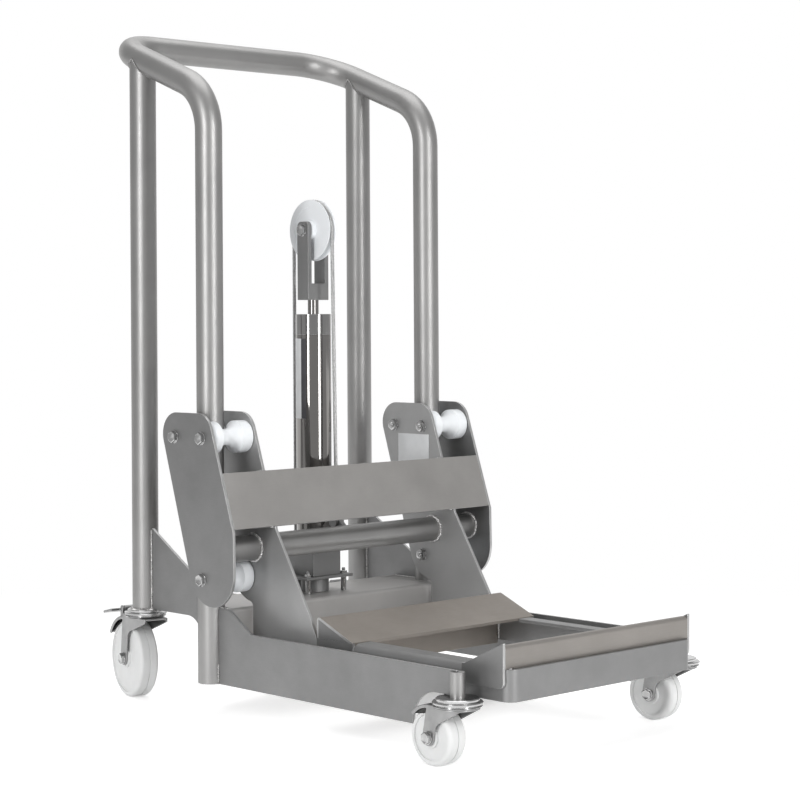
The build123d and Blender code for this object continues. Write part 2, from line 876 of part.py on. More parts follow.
# Cradle
def make_cradle_band():
    length = band_reach - arm_end_reach
    with BuildPart() as cradle_band:
        with BuildSketch(Plane.XY.offset(band_foot_z)) as plan:
            with Locations((0, fwd(band_reach))):
                Rectangle(2 * cradle_half, length, align=(Align.CENTER, Align.MIN))
            front = plan.vertices().group_by(Axis.Y)[0]
            fillet(front, band_corner_r)
            with BuildSketch(mode=Mode.PRIVATE) as hollow:
                with Locations((0, fwd(band_reach) + plate_t)):
                    Rectangle(2 * cradle_inner, length, align=(Align.CENTER, Align.MIN))
                fillet(hollow.vertices().group_by(Axis.Y)[0], band_corner_r - plate_t)
            add(hollow.sketch, mode=Mode.SUBTRACT)
        extrude(amount=band_h)
        rear_y = fwd(ramp_toe_reach + running_gap)
        run = wedge_toe_reach - ramp_toe_reach - 2 * running_gap
        root_z = band_top_z - 2 * band_bend_r
        for side in (-1, 1):
            with BuildSketch(Plane.XZ.offset(-rear_y)):
                with Locations((side * cradle_half, root_z)):
                    Rectangle(2 * plate_t, band_h, align=(Align.CENTER, Align.MIN))
            extrude(amount=run, mode=Mode.SUBTRACT)
            with BuildSketch(Plane.XZ.offset(-rear_y)) as rolled:
                with BuildLine():
                    Polyline(
                        (side * cradle_half, root_z),
                        (side * cradle_half, band_top_z),
                        (side * (cradle_half - band_flange), band_top_z),
                        (side * (cradle_half - band_flange), band_top_z - plate_t),
                        (side * cradle_inner, band_top_z - plate_t),
                        (side * cradle_inner, root_z),
                        close=True,
                    )
                make_face()
                corners = rolled.vertices()
                outside = corners.sort_by_distance((side * cradle_half, band_top_z))[0]
                inside = corners.sort_by_distance((side * cradle_inner, band_top_z - plate_t))[0]
                fillet(outside, band_bend_r)
                fillet(inside, band_bend_r - plate_t)
            extrude(amount=run)
    save(cradle_band, "cradle_band")


class Slope(NamedTuple):
    """A folded sheet: an upright leg at one end and a slope down to a toe."""

    reach: float
    toe_reach: float
    apex_z: float
    foot_z: float

    @property
    def forward(self):
        """1 where the slope falls towards the front, -1 where it falls towards the rear."""
        return 1 if self.toe_reach > self.reach else -1

    @property
    def fall(self):
        """Fall of the slope for each millimetre of run."""
        return (self.apex_z - slope_toe_z) / abs(self.toe_reach - self.reach)

    def under(self, reach):
        """Height of the sheet's underside at this reach."""
        top = self.apex_z - self.fall * abs(reach - self.reach)
        return top - sheet_t * sqrt(1 + self.fall**2)


ramp = Slope(ramp_reach, ramp_toe_reach, ramp_apex_z, ramp_foot_z)
wedge = Slope(wedge_reach, wedge_toe_reach, wedge_apex_z, wedge_foot_z)


def make_slope_sheet(slope, leg_half, label):
    leg_in = slope.reach + slope.forward * sheet_t
    with BuildPart() as slope_sheet:
        with BuildSketch(Plane.YZ.offset(-cradle_half)) as section:
            with BuildLine():
                Polyline(
                    (fwd(slope.reach), slope.foot_z),
                    (fwd(slope.reach), slope.apex_z),
                    (fwd(slope.toe_reach), slope_toe_z),
                    (fwd(slope.toe_reach), slope.under(slope.toe_reach)),
                    (fwd(leg_in), slope.under(leg_in)),
                    (fwd(leg_in), slope.foot_z),
                    close=True,
                )
            make_face()
            fillet(section.vertices().sort_by_distance((fwd(slope.reach), slope.apex_z))[0], apex_r)
        extrude(amount=2 * cradle_half)
        trim = cradle_half - leg_half
        for side in (-1, 1):
            with BuildSketch(Plane.XY.offset(band_top_z)):
                middle_y = (fwd(slope.reach) + fwd(slope.toe_reach)) / 2
                with Locations((side * (leg_half + trim), middle_y)):
                    Rectangle(2 * trim, 2 * abs(slope.reach - slope.toe_reach))
            extrude(amount=-2 * band_h, mode=Mode.SUBTRACT)
    save(slope_sheet, label)


def make_cradle_cheeks():
    rear_in = ramp.reach + sheet_t
    toe_run = (ramp.under(rear_in) - band_top_z) / ramp.fall
    with BuildPart() as cradle_cheeks:
        for side in (-1, 1):
            with BuildSketch(Plane.YZ.offset(side * cradle_inner)):
                with BuildLine():
                    Polyline(
                        (fwd(rear_in), band_top_z),
                        (fwd(rear_in), ramp.under(rear_in)),
                        (fwd(rear_in + toe_run), band_top_z),
                        close=True,
                    )
                make_face()
            extrude(amount=side * plate_t)
            with BuildSketch(Plane.YZ.offset(side * cradle_half)) as front_cheek:
                with BuildLine():
                    Polyline(
                        (fwd(wedge.reach), cheek_foot_z),
                        (fwd(wedge.reach), wedge.apex_z),
                        (fwd(wedge.toe_reach), slope_toe_z),
                        (fwd(wedge.toe_reach - cheek_tail), slope_toe_z),
                        (fwd(wedge.toe_reach - cheek_tail), cheek_foot_z),
                        close=True,
                    )
                make_face()
                corners = front_cheek.vertices()
                fillet(corners.sort_by_distance((fwd(wedge.reach), cheek_foot_z))[0], cheek_corner_r)
                fillet(corners.sort_by_distance((fwd(wedge.reach), wedge.apex_z))[0], apex_r)
            extrude(amount=side * plate_t)
    save(cradle_cheeks, "cradle_cheeks")


# Lift cylinder and its foot
stud_places = [(x * stud_pitch_x / 2, cylinder_y + y * stud_pitch_y / 2) for x in (-1, 1) for y in (-1, 1)]


def make_foot_plate():
    depth = foot_plate_reach + foot_plate_setback
    with BuildPart() as foot_plate:
        with BuildSketch(Plane.XY.offset(foot_plate_z)):
            with Locations((0, fwd(foot_plate_reach))):
                Rectangle(foot_plate_w, depth, align=(Align.CENTER, Align.MIN))
            with Locations(*stud_places):
                Circle(stud_d / 2 + weld_gap, mode=Mode.SUBTRACT)
        extrude(amount=foot_plate_t)
        with BuildSketch(Plane((0, cylinder_y, beam_top_z))):
            Circle(foot_boss_d / 2)
        extrude(amount=foot_plate_z - beam_top_z)
    save(foot_plate, "foot_plate")


def make_foot_studs():
    with BuildPart() as foot_studs:
        with BuildSketch(Plane.XY.offset(beam_top_z)):
            with Locations(*stud_places):
                Circle(stud_d / 2)
        extrude(amount=foot_plate_top_z + dome_nut_h - beam_top_z)
        with BuildSketch(Plane.XY.offset(foot_plate_top_z)):
            with Locations(*stud_places):
                RegularPolygon(dome_nut_af / 2, 6, major_radius=False)
        extrude(amount=dome_nut_h)
        with Locations(*[(x, y, foot_plate_top_z + dome_nut_h) for x, y in stud_places]):
            Sphere(dome_nut_af / 2, arc_size1=0)
    save(foot_studs, "foot_studs")


def make_foot_spacers():
    with BuildPart() as foot_spacers:
        with BuildSketch(Plane.XY.offset(beam_top_z)):
            with Locations(*stud_places):
                Circle(spacer_d / 2)
                Circle(stud_d / 2 + weld_gap, mode=Mode.SUBTRACT)
        extrude(amount=foot_plate_z - beam_top_z)
    save(foot_spacers, "foot_spacers")


def make_valve_block():
    with BuildPart() as valve_block:
        with BuildSketch(Plane((0, cylinder_y, foot_plate_top_z))):
            Rectangle(block_w, block_depth)
        extrude(amount=cylinder_foot_z - foot_plate_top_z)
    save(valve_block, "valve_block")


def make_cylinder_tube():
    with BuildPart() as cylinder_tube:
        with BuildSketch(Plane((0, cylinder_y, cylinder_foot_z))):
            Circle(cylinder_d / 2)
            Circle(cylinder_d / 2 - cylinder_wall, mode=Mode.SUBTRACT)
        extrude(amount=gland_z - cylinder_foot_z)
    save(cylinder_tube, "cylinder_tube")


def make_gland_nut():
    with BuildPart() as gland_nut:
        with BuildSketch(Plane((0, cylinder_y, gland_z))):
            Circle(cylinder_d / 2)
        extrude(amount=gland_top_z - gland_z)
        with BuildSketch(Plane((0, cylinder_y, gland_z))):
            Circle(cylinder_d / 2 - cylinder_wall - weld_gap)
        extrude(amount=-gland_spigot)
        with BuildSketch(Plane((0, cylinder_y, gland_top_z))):
            Circle(rod_d / 2 + shaft_gap)
        extrude(amount=-gland_top_z + gland_z - gland_spigot, mode=Mode.SUBTRACT)
    save(gland_nut, "gland_nut")


def make_lift_rod():
    with BuildPart() as lift_rod:
        with BuildSketch(Plane((0, cylinder_y, piston_foot_z))):
            Circle(rod_d / 2)
        extrude(amount=clevis_foot_z + clevis_socket - piston_foot_z)
    save(lift_rod, "lift_rod")


def make_piston():
    with BuildPart() as piston:
        with BuildSketch(Plane((0, cylinder_y, piston_foot_z))):
            Circle(cylinder_d / 2 - cylinder_wall - shaft_gap)
            Circle(rod_d / 2 + weld_gap, mode=Mode.SUBTRACT)
        extrude(amount=piston_h)
    save(piston, "piston")


# Clevis, pulley and rope
def make_clevis():
    with BuildPart() as clevis:
        with BuildSketch(Plane.YZ.offset(-clevis_w / 2)) as outline:
            with Locations((cylinder_y, clevis_foot_z)):
                Rectangle(clevis_depth, clevis_top_z - clevis_foot_z, align=(Align.CENTER, Align.MIN))
            fillet(outline.vertices().group_by(Axis.Y)[-1], clevis_corner_r)
            with Locations((cylinder_y, pulley_z)):
                Circle(pulley_pin_d / 2 + weld_gap, mode=Mode.SUBTRACT)
        extrude(amount=clevis_w)
        with BuildSketch(Plane((0, cylinder_y, clevis_slot_z))):
            Rectangle(clevis_w - 2 * clevis_arm_t, 2 * clevis_depth)
        extrude(amount=clevis_top_z - clevis_slot_z, mode=Mode.SUBTRACT)
        with BuildSketch(Plane((0, cylinder_y, clevis_foot_z))):
            Circle(rod_d / 2 + weld_gap)
        extrude(amount=clevis_socket, mode=Mode.SUBTRACT)
    save(clevis, "clevis")


def make_pulley_pin():
    with BuildPart() as pulley_pin:
        with BuildSketch(Plane.YZ):
            with Locations((cylinder_y, pulley_z)):
                Circle(pulley_pin_d / 2)
        extrude(amount=clevis_w / 2, both=True)
        for side in (-1, 1):
            with BuildSketch(Plane.YZ.offset(side * clevis_w / 2)):
                with Locations((cylinder_y, pulley_z)):
                    RegularPolygon(pulley_head_d / 2, 6)
            extrude(amount=side * pulley_head_h)
    save(pulley_pin, "pulley_pin")


def make_pulley():
    hub_half = clevis_w / 2 - clevis_arm_t - running_gap
    rim_r = pulley_d / 2
    groove_r = rope_r + running_gap
    mouth = pulley_w / 2 - pulley_lip_t
    middle = (0, cylinder_y, pulley_z)
    with BuildPart() as pulley:
        with BuildSketch(Plane(origin=middle, x_dir=(1, 0, 0), z_dir=(0, -1, 0))):
            with BuildLine():
                Polyline(
                    (-groove_r, rope_pitch_r),
                    (-mouth, rim_r),
                    (-pulley_w / 2, rim_r),
                    (-pulley_w / 2, rim_r - pulley_rim_h),
                    (-pulley_web_t / 2, rim_r - pulley_rim_h),
                    (-pulley_web_t / 2, pulley_hub_d / 2),
                    (-hub_half, pulley_hub_d / 2),
                    (-hub_half, pulley_pin_d / 2 + shaft_gap),
                    (hub_half, pulley_pin_d / 2 + shaft_gap),
                    (hub_half, pulley_hub_d / 2),
                    (pulley_web_t / 2, pulley_hub_d / 2),
                    (pulley_web_t / 2, rim_r - pulley_rim_h),
                    (pulley_w / 2, rim_r - pulley_rim_h),
                    (pulley_w / 2, rim_r),
                    (mouth, rim_r),
                    (groove_r, rope_pitch_r),
                )
                ThreePointArc(
                    (groove_r, rope_pitch_r), (0, rope_pitch_r - groove_r), (-groove_r, rope_pitch_r)
                )
            make_face()
        revolve(axis=Axis(middle, (1, 0, 0)))
    save(pulley, "pulley")


def make_rope_wrap():
    with BuildPart() as rope_wrap:
        with BuildLine() as route:
            ThreePointArc(
                (0, rope_front_y, pulley_z),
                (0, cylinder_y, pulley_z + rope_pitch_r),
                (0, rope_rear_y, pulley_z),
            )
        with BuildSketch(Plane((0, rope_front_y, pulley_z))):
            Circle(rope_r)
        sweep(path=route.wires()[0])
    save(rope_wrap, "rope_wrap")


def make_rope_run(top_y, foot, label):
    """One straight run of the rope, from the pulley down to the top of its end fitting."""
    with BuildPart() as rope_run:
        with BuildLine() as route:
            Line((0, *foot), (0, top_y, pulley_z))
        with BuildSketch(Plane((0, *foot))):
            Circle(rope_r)
        sweep(path=route.wires()[0])
    save(rope_run, label)


def rope_end_top(pin_z):
    """Top of the fork fitting that hangs on a pin at this height."""
    return pin_z + rope_fork_neck + rope_barrel_h


def make_rope_end(pin_y, pin_z):
    """The fork fitting at one end of the rope, with the pin that holds it to its lug."""
    jaw_in = lug_t / 2 + running_gap
    jaw_out = jaw_in + rope_fork_t
    with BuildPart() as rope_end:
        for side in (-1, 1):
            with BuildSketch(Plane.YZ.offset(side * jaw_in)):
                with Locations((pin_y, pin_z)):
                    Circle(lug_r)
                with Locations((pin_y, pin_z + rope_fork_neck)):
                    Rectangle(2 * lug_r, rope_fork_t, align=(Align.CENTER, Align.MAX))
                make_hull()
            extrude(amount=side * rope_fork_t)
        with BuildSketch(Plane((0, pin_y, pin_z + rope_fork_neck))):
            Rectangle(2 * jaw_out, 2 * lug_r)
        extrude(amount=-rope_fork_t)
        with BuildSketch(Plane((0, pin_y, pin_z + rope_fork_neck))):
            Circle(rope_barrel_d / 2)
        extrude(amount=rope_barrel_h)
        with BuildSketch(Plane.YZ.offset(-jaw_out)):
            with Locations((pin_y, pin_z)):
                Circle(rope_pin_d / 2)
        extrude(amount=2 * jaw_out)
    return rope_end.part


def make_carriage_rope_anchor():
    pin_y = fwd(rope_pin_reach)
    tube_place = (fwd(cross_tube_reach), cross_tube_z)
    fitting = make_rope_end(pin_y, rope_pin_z)
    with BuildPart() as carriage_rope_anchor:
        with BuildSketch(Plane.YZ):
            with Locations((pin_y, rope_pin_z), tube_place):
                Circle(lug_r)
            make_hull()
            with Locations(tube_place):
                Circle(cross_tube_d / 2 + weld_gap, mode=Mode.SUBTRACT)
            with Locations((pin_y, rope_pin_z)):
                Circle(rope_pin_d / 2 + weld_gap, mode=Mode.SUBTRACT)
        extrude(amount=lug_t / 2, both=True)
        add(fitting)
    save(carriage_rope_anchor, "carriage_rope_anchor")


def make_fixed_rope_anchor():
    fitting = make_rope_end(rope_rear_y, anchor_pin_z)
    with BuildPart() as fixed_rope_anchor:
        with BuildSketch(Plane.YZ):
            with Locations((rope_rear_y, anchor_pin_z)):
                Circle(lug_r)
            with Locations((rope_rear_y, beam_top_z)):
                Rectangle(2 * lug_r, anchor_pin_rise, align=(Align.CENTER, Align.MIN))
            with Locations((rope_rear_y, anchor_pin_z)):
                Circle(rope_pin_d / 2 + weld_gap, mode=Mode.SUBTRACT)
        extrude(amount=lug_t / 2, both=True)
        add(fitting)
    save(fixed_rope_anchor, "fixed_rope_anchor")


# Foot pump
def make_pump_body():
    ear_in = lever_w / 2 + running_gap
    bore_foot_z = pump_top_z - plunger_sink - plunger_travel
    release_z = pump_top_z - release_drop
    release_y = pump_y + release_inset
    with BuildPart() as pump_body:
        with BuildSketch(Plane((0, pump_y, pump_foot_z))):
            Rectangle(pump_w, pump_depth, align=(Align.CENTER, Align.MIN))
        extrude(amount=pump_top_z - pump_foot_z)
        for side in (-1, 1):
            with BuildSketch(Plane.YZ.offset(side * ear_in)):
                with Locations((pump_pivot_y, pump_pivot_z)):
                    Circle(pump_pin_d)
                with Locations((pump_pivot_y, pump_top_z)):
                    Rectangle(2 * pump_pin_d, pump_pin_d, align=(Align.CENTER, Align.MIN))
                make_hull()
                with Locations((pump_pivot_y, pump_pivot_z)):
                    Circle(pump_pin_d / 2 + shaft_gap, mode=Mode.SUBTRACT)
            extrude(amount=side * pump_ear_t)
        with BuildSketch(Plane((0, plunger_y, bore_foot_z))):
            Circle(plunger_d / 2 + shaft_gap)
        extrude(amount=pump_top_z - bore_foot_z, mode=Mode.SUBTRACT)
        with BuildSketch(Plane.YZ.offset(-pump_w / 2)):
            with Locations((release_y, release_z)):
                Circle(release_pin_d / 2 + shaft_gap)
        extrude(amount=release_pin_d, mode=Mode.SUBTRACT)
    save(pump_body, "pump_body")


def make_pump_pedal():
    with BuildPart() as pump_pedal:
        with BuildSketch(Plane.YZ):
            with Locations((pump_pivot_y, pump_pivot_z)):
                Circle(pump_pin_d - running_gap)
                Rectangle(lever_run, lever_t, align=(Align.MIN, Align.CENTER))
        extrude(amount=lever_w / 2, both=True)
        with BuildSketch(Plane.YZ):
            with Locations((pump_pivot_y, pump_pivot_z)):
                Circle(pump_pin_d / 2)
        extrude(amount=lever_w / 2 + running_gap + pump_ear_t, both=True)
        pad_y = pump_pivot_y + lever_run - pedal_depth / 2
        with BuildSketch(Plane((0, pad_y, pump_pivot_z + lever_t / 2))):
            RectangleRounded(pedal_w, pedal_depth, pedal_corner_r)
        extrude(amount=sheet_t)
    save(pump_pedal, "pump_pedal")


def make_pump_plunger():
    under_z = pump_pivot_z - lever_t / 2 - running_gap
    with BuildPart() as pump_plunger:
        with BuildSketch(Plane((0, plunger_y, pump_top_z - plunger_sink))):
            Circle(plunger_d / 2)
        extrude(amount=plunger_sink + plunger_travel)
        with BuildSketch(Plane((0, plunger_y, pump_top_z))):
            Circle(plunger_tip_r)
        extrude(amount=under_z - pump_top_z)
    save(pump_plunger, "pump_plunger")


def make_release_lever():
    release_z = pump_top_z - release_drop
    release_y = pump_y + release_inset
    near_x = -pump_w / 2 - running_gap
    with BuildPart() as release_lever:
        with BuildSketch(Plane.YZ.offset(near_x)):
            with Locations((release_y, release_z)):
                Circle(release_pin_d)
                Rectangle(release_run, release_w, align=(Align.MIN, Align.CENTER))
        extrude(amount=-release_t)
        with BuildSketch(Plane.YZ.offset(near_x)):
            with Locations((release_y, release_z)):
                Circle(release_pin_d / 2)
        extrude(amount=release_pin_d - release_t / 2)
        pad_y = release_y + release_run - release_pad / 2
        with BuildSketch(Plane((near_x - release_t, pad_y, release_z + release_w / 2))):
            Rectangle(release_pad, release_pad)
        extrude(amount=-sheet_t)
    save(release_lever, "release_lever")


def make_pressure_pipe():
    block_y = cylinder_y + block_depth / 2
    rise_y = pump_y + pump_depth - pipe_inset
    with BuildPart() as pressure_pipe:
        with BuildLine() as route:
            bent_route(
                [(pipe_x, rise_y, pump_top_z), (pipe_x, rise_y, pipe_z), (pipe_x, block_y, pipe_z)],
                [pipe_bend_r],
            )
        with BuildSketch(Plane((pipe_x, rise_y, pump_top_z))):
            Circle(pipe_d / 2)
            Circle(pipe_d / 2 - pipe_wall, mode=Mode.SUBTRACT)
        sweep(path=route.wires()[0])
    save(pressure_pipe, "pressure_pipe")


make_mast_loop()
make_rear_posts()
make_gusset_plates()
make_side_leg(-1, "side_leg_left")
make_side_leg(1, "side_leg_right")
make_front_stems()
make_cross_beam()
make_caster_heads()
for place, caster in casters.items():
    make_fork(caster, place, braked=place.startswith("rear"))
    make_axle(caster, place)
    make_wheel(caster, place)
    if place.startswith("rear"):
        make_brake_pedal(caster, place)
for side, hand in ((-1, "left"), (1, "right")):
    make_outer_plate(side, f"outer_plate_{hand}")
    make_arm_plate(side, f"arm_plate_{hand}")
    for spot, place in roller_places.items():
        make_roller(side, place, f"roller_{hand}_{spot}")
make_roller_bolts()
make_cross_plate()
make_cross_tube()
make_cradle_band()
make_slope_sheet(ramp, cradle_inner, "cradle_ramp")
make_slope_sheet(wedge, wedge_leg_half, "cradle_wedge")
make_cradle_cheeks()
make_foot_plate()
make_foot_studs()
make_foot_spacers()
make_valve_block()
make_cylinder_tube()
make_gland_nut()
make_lift_rod()
make_piston()
make_clevis()
make_pulley_pin()
make_pulley()
make_rope_wrap()
make_carriage_rope_anchor()
make_fixed_rope_anchor()
make_rope_run(rope_front_y, (fwd(rope_pin_reach), rope_end_top(rope_pin_z)), "rope_front_run")
make_rope_run(rope_rear_y, (rope_rear_y, rope_end_top(anchor_pin_z)), "rope_rear_run")
make_pump_body()
make_pump_pedal()
make_pump_plunger()
make_release_lever()
make_pressure_pipe()
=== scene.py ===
"""Looks of the roll handler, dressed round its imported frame: satin steel, welds, nylon wheels, wire rope."""

import json
from math import atan2, cos, pi, radians, sin, sqrt, tan

import bpy
from mathutils import Matrix, Vector

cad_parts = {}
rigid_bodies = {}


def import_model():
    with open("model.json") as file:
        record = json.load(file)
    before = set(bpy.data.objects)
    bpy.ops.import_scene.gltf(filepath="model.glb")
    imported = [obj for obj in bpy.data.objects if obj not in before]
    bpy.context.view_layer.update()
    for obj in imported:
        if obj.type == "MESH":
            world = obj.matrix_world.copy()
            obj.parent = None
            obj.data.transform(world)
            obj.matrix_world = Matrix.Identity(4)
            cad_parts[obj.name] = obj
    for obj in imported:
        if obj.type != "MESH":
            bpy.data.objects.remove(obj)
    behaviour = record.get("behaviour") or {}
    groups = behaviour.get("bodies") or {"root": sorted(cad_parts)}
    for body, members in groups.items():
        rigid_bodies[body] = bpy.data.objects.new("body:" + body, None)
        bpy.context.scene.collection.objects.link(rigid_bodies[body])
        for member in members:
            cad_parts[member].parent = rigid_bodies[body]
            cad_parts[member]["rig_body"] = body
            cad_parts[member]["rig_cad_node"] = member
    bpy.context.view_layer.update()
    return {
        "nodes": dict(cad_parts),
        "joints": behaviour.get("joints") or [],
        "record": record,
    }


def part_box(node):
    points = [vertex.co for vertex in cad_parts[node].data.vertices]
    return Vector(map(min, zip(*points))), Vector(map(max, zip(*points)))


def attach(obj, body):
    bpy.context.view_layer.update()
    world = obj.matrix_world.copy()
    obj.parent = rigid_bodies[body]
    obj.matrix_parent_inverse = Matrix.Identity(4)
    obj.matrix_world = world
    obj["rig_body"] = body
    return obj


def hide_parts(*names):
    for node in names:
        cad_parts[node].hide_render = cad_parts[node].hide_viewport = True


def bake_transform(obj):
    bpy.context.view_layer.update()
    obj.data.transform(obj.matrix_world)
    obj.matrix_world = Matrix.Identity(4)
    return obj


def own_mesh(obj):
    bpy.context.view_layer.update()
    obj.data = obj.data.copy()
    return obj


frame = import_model()
nodes = frame["nodes"]
bodies = frame["record"]["behaviour"]["bodies"]
body_of_node = {node: body for body, members in bodies.items() for node in members}
slot_of_node = {entry["node"]: entry["material_slot"] for entry in frame["record"]["subparts"]}
pivot = {joint["name"]: Vector(joint["pos_m"]) for joint in frame["joints"]}
turn_axis = {joint["name"]: Vector(joint["axis"]) for joint in frame["joints"]}

# Places and sizes of the frame, in metres
mast_y = pivot["carriage_lift"].y
post_x = abs(pivot["roller_spin_left_low"].x)
tube_r = 0.0212
rear_step = 0.172
rear_y = mast_y + rear_step
leg_half = 0.0025
sheet_t = 0.004
arm_rise = radians(21.3)
knee_z = 0.966
sides = {"left": -1, "right": 1}
caster_places = ("front_left", "front_right", "rear_left", "rear_right")
roller_spots = ("top_front", "top_rear", "low")

# Angles up to which an edge is shaded smooth, in degrees
plain_smooth = 35
bolt_smooth = 30
race_smooth = 32
rope_smooth = 50
weld_smooth = 60

# Points nearer than this are one
merge_gap = 1e-6


# Hand tools
def deselect():
    if bpy.context.object and bpy.context.object.mode != "OBJECT":
        bpy.ops.object.mode_set(mode="OBJECT")
    bpy.ops.object.select_all(action="DESELECT")


def pick(piece):
    deselect()
    piece.select_set(True)
    bpy.context.view_layer.objects.active = piece


def edit(piece, select="DESELECT"):
    pick(piece)
    bpy.ops.object.mode_set(mode="EDIT")
    bpy.ops.mesh.select_all(action=select)


def choose(piece, kind, test):
    """Selects the faces or points of a piece in edit mode whose place and normal pass the test."""
    bpy.ops.mesh.select_mode(type=kind)
    bpy.ops.mesh.select_all(action="DESELECT")
    bpy.ops.object.mode_set(mode="OBJECT")
    if kind == "FACE":
        for face in piece.data.polygons:
            face.select = test(face.center, face.normal)
    else:
        for vertex in piece.data.vertices:
            vertex.select = test(vertex.co, vertex.normal)
    bpy.ops.object.mode_set(mode="EDIT")


def apply(piece, kind, **settings):
    pick(piece)
    modifier = piece.modifiers.new(kind.lower(), kind)
    for key, value in settings.items():
        setattr(modifier, key, value)
    bpy.ops.object.modifier_apply(modifier=modifier.name)


def settle(piece):
    """Puts a piece's place into its mesh."""
    pick(piece)
    bpy.ops.object.transform_apply(location=True, rotation=True, scale=True)


def set_at(piece, place):
    """Moves a piece by a matrix and puts that into its mesh."""
    piece.matrix_world = place
    settle(piece)
    return piece


def outward(piece):
    edit(piece, "SELECT")
    bpy.ops.mesh.remove_doubles(threshold=merge_gap)
    bpy.ops.mesh.normals_make_consistent(inside=False)
    deselect()


def join(pieces):
    deselect()
    for piece in pieces:
        piece.select_set(True)
    bpy.context.view_layer.objects.active = pieces[0]
    if len(pieces) > 1:
        bpy.ops.object.join()
    return bpy.context.object


def copies(piece, places):
    """Copies of a piece, each with its own mesh, one at each matrix, joined into one."""
    made = []
    for place in places:
        pick(piece)
        bpy.ops.object.duplicate()
        made.append(set_at(bpy.context.object, place))
    bpy.data.objects.remove(piece)
    return join(made)


def up(height):
    return Matrix.Translation((0, 0, height))


def standing(place, direction):
    """The matrix that sets a piece made along Z at a place, pointing along a direction."""
    return Matrix.Translation(place) @ Vector(direction).to_track_quat("Z", "Y").to_matrix().to_4x4()


def dress(piece, name, look, smooth, flat=False):
    """Names, shades and paints a finished piece."""
    settle(piece)
    piece.name = name
    piece.data.name = name
    bpy.ops.object.shade_smooth_by_angle(angle=radians(smooth))
    if flat:
        apply(piece, "WEIGHTED_NORMAL", mode="FACE_AREA", weight=100, keep_sharp=True)
    piece.data.materials.clear()
    piece.data.materials.append(look)


def hand_over(piece, name, body, look, stands_for=(), smooth=plain_smooth, flat=False):
    dress(piece, name, look, smooth, flat)
    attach(piece, body)
    if stands_for:
        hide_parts(*stands_for)
    return piece


def stand_in(piece, name, node, look, smooth=plain_smooth, flat=False):
    """Hands over a piece in place of a CAD node, on that node's body."""
    return hand_over(piece, name, body_of_node[node], look, (node,), smooth, flat)


def repaint(piece, look, test):
    """Gives the faces of a piece that pass the test a second finish."""
    piece.data.materials.append(look)
    edit(piece)
    choose(piece, "FACE", test)
    piece.active_material_index = len(piece.data.materials) - 1
    bpy.ops.object.material_slot_assign()
    deselect()


# Finishes
def add(tree, kind, sockets=None, **options):
    """A shader node with its options and the values of its sockets."""
    node = tree.nodes.new("ShaderNode" + kind)
    for option, value in options.items():
        setattr(node, option, value)
    for socket, value in (sockets or {}).items():
        node.inputs[socket].default_value = value
    return node


smudge_share = 2.6
grain_depth = 0.0004


def finish(name, dark, light, metal, rough, grain, blotch, relief, stretch=(1, 1, 1)):
    """A procedural finish: soft blotches between two colours, smudges and a fine drawn grain."""
    material = bpy.data.materials.new(name)
    material.use_nodes = True
    tree = material.node_tree
    shader = tree.nodes["Principled BSDF"]
    shader.inputs["Metallic"].default_value = metal
    place = add(tree, "TexCoord")
    drawn = add(tree, "Mapping", {"Scale": stretch})
    clouds = add(tree, "TexNoise", {"Scale": blotch, "Detail": 5.0, "Roughness": 0.6})
    tint = add(tree, "ValToRGB")
    for stop, share, tone in zip(tint.color_ramp.elements, (0.3, 0.7), (dark, light)):
        stop.position = share
        stop.color = (*tone, 1)
    speck = add(tree, "TexNoise", {"Scale": grain, "Detail": 3.0})
    smudge = add(tree, "TexNoise", {"Scale": blotch * smudge_share, "Detail": 4.0})
    both = add(tree, "Math", operation="ADD")
    gloss = add(tree, "MapRange", {"From Min": 0.7, "From Max": 1.3, "To Min": rough[0], "To Max": rough[1]})
    bump = add(tree, "Bump", {"Strength": relief, "Distance": grain_depth})
    link = tree.links.new
    link(place.outputs["Object"], clouds.inputs["Vector"])
    link(place.outputs["Object"], smudge.inputs["Vector"])
    link(place.outputs["Object"], drawn.inputs["Vector"])
    link(drawn.outputs["Vector"], speck.inputs["Vector"])
    link(clouds.outputs["Fac"], tint.inputs["Fac"])
    link(tint.outputs["Color"], shader.inputs["Base Color"])
    link(speck.outputs["Fac"], both.inputs[0])
    link(smudge.outputs["Fac"], both.inputs[1])
    link(both.outputs["Value"], gloss.inputs["Value"])
    link(gloss.outputs["Result"], shader.inputs["Roughness"])
    link(speck.outputs["Fac"], bump.inputs["Height"])
    link(bump.outputs["Normal"], shader.inputs["Normal"])
    return material


def grey(low, high, warm=0.0):
    """Two neutral tones, a little warmer where asked."""
    return tuple((tone, tone * (1 - warm), tone * (1 - 2 * warm)) for tone in (low, high))


along_x, along_y, along_z = (0.05, 1, 1), (1, 0.05, 1), (1, 1, 0.05)
plate_feel = {"rough": (0.42, 0.54), "grain": 1300, "relief": 0.08}
label_feel = {"metal": 0.0, "rough": (0.40, 0.50), "grain": 500, "blotch": 30, "relief": 0.03}
satin_tube = finish("satin_tube", *grey(0.32, 0.37, warm=0.01), metal=0.95, rough=(0.40, 0.48),
                    grain=1400, blotch=9, relief=0.04)
satin_plate = finish("satin_plate", *grey(0.235, 0.275), metal=0.8, blotch=11, stretch=along_y, **plate_feel)
# The cross plate, ramp and wedge get lighter, warmer copies of the satin plate: painted light on faces turned
# to the front.
front_lit_plate = finish("front_lit_plate", *grey(0.335, 0.385, warm=0.03), metal=0.8, blotch=10, stretch=along_x,
                    **plate_feel)
ramp_plate = finish("ramp_plate", *grey(0.255, 0.30, warm=0.09), metal=0.8, blotch=8, stretch=along_x,
                    **plate_feel)
wedge_plate = finish("wedge_plate", *grey(0.28, 0.33, warm=0.06), metal=0.8, blotch=8, stretch=along_x,
                     **plate_feel)
# The arms and the cross beam get lighter, less metallic copies of the satin plate: painted fill light on their
# shaded inner faces.
arm_plate = finish("arm_plate", *grey(0.365, 0.415), metal=0.65, blotch=11, stretch=along_y, **plate_feel)
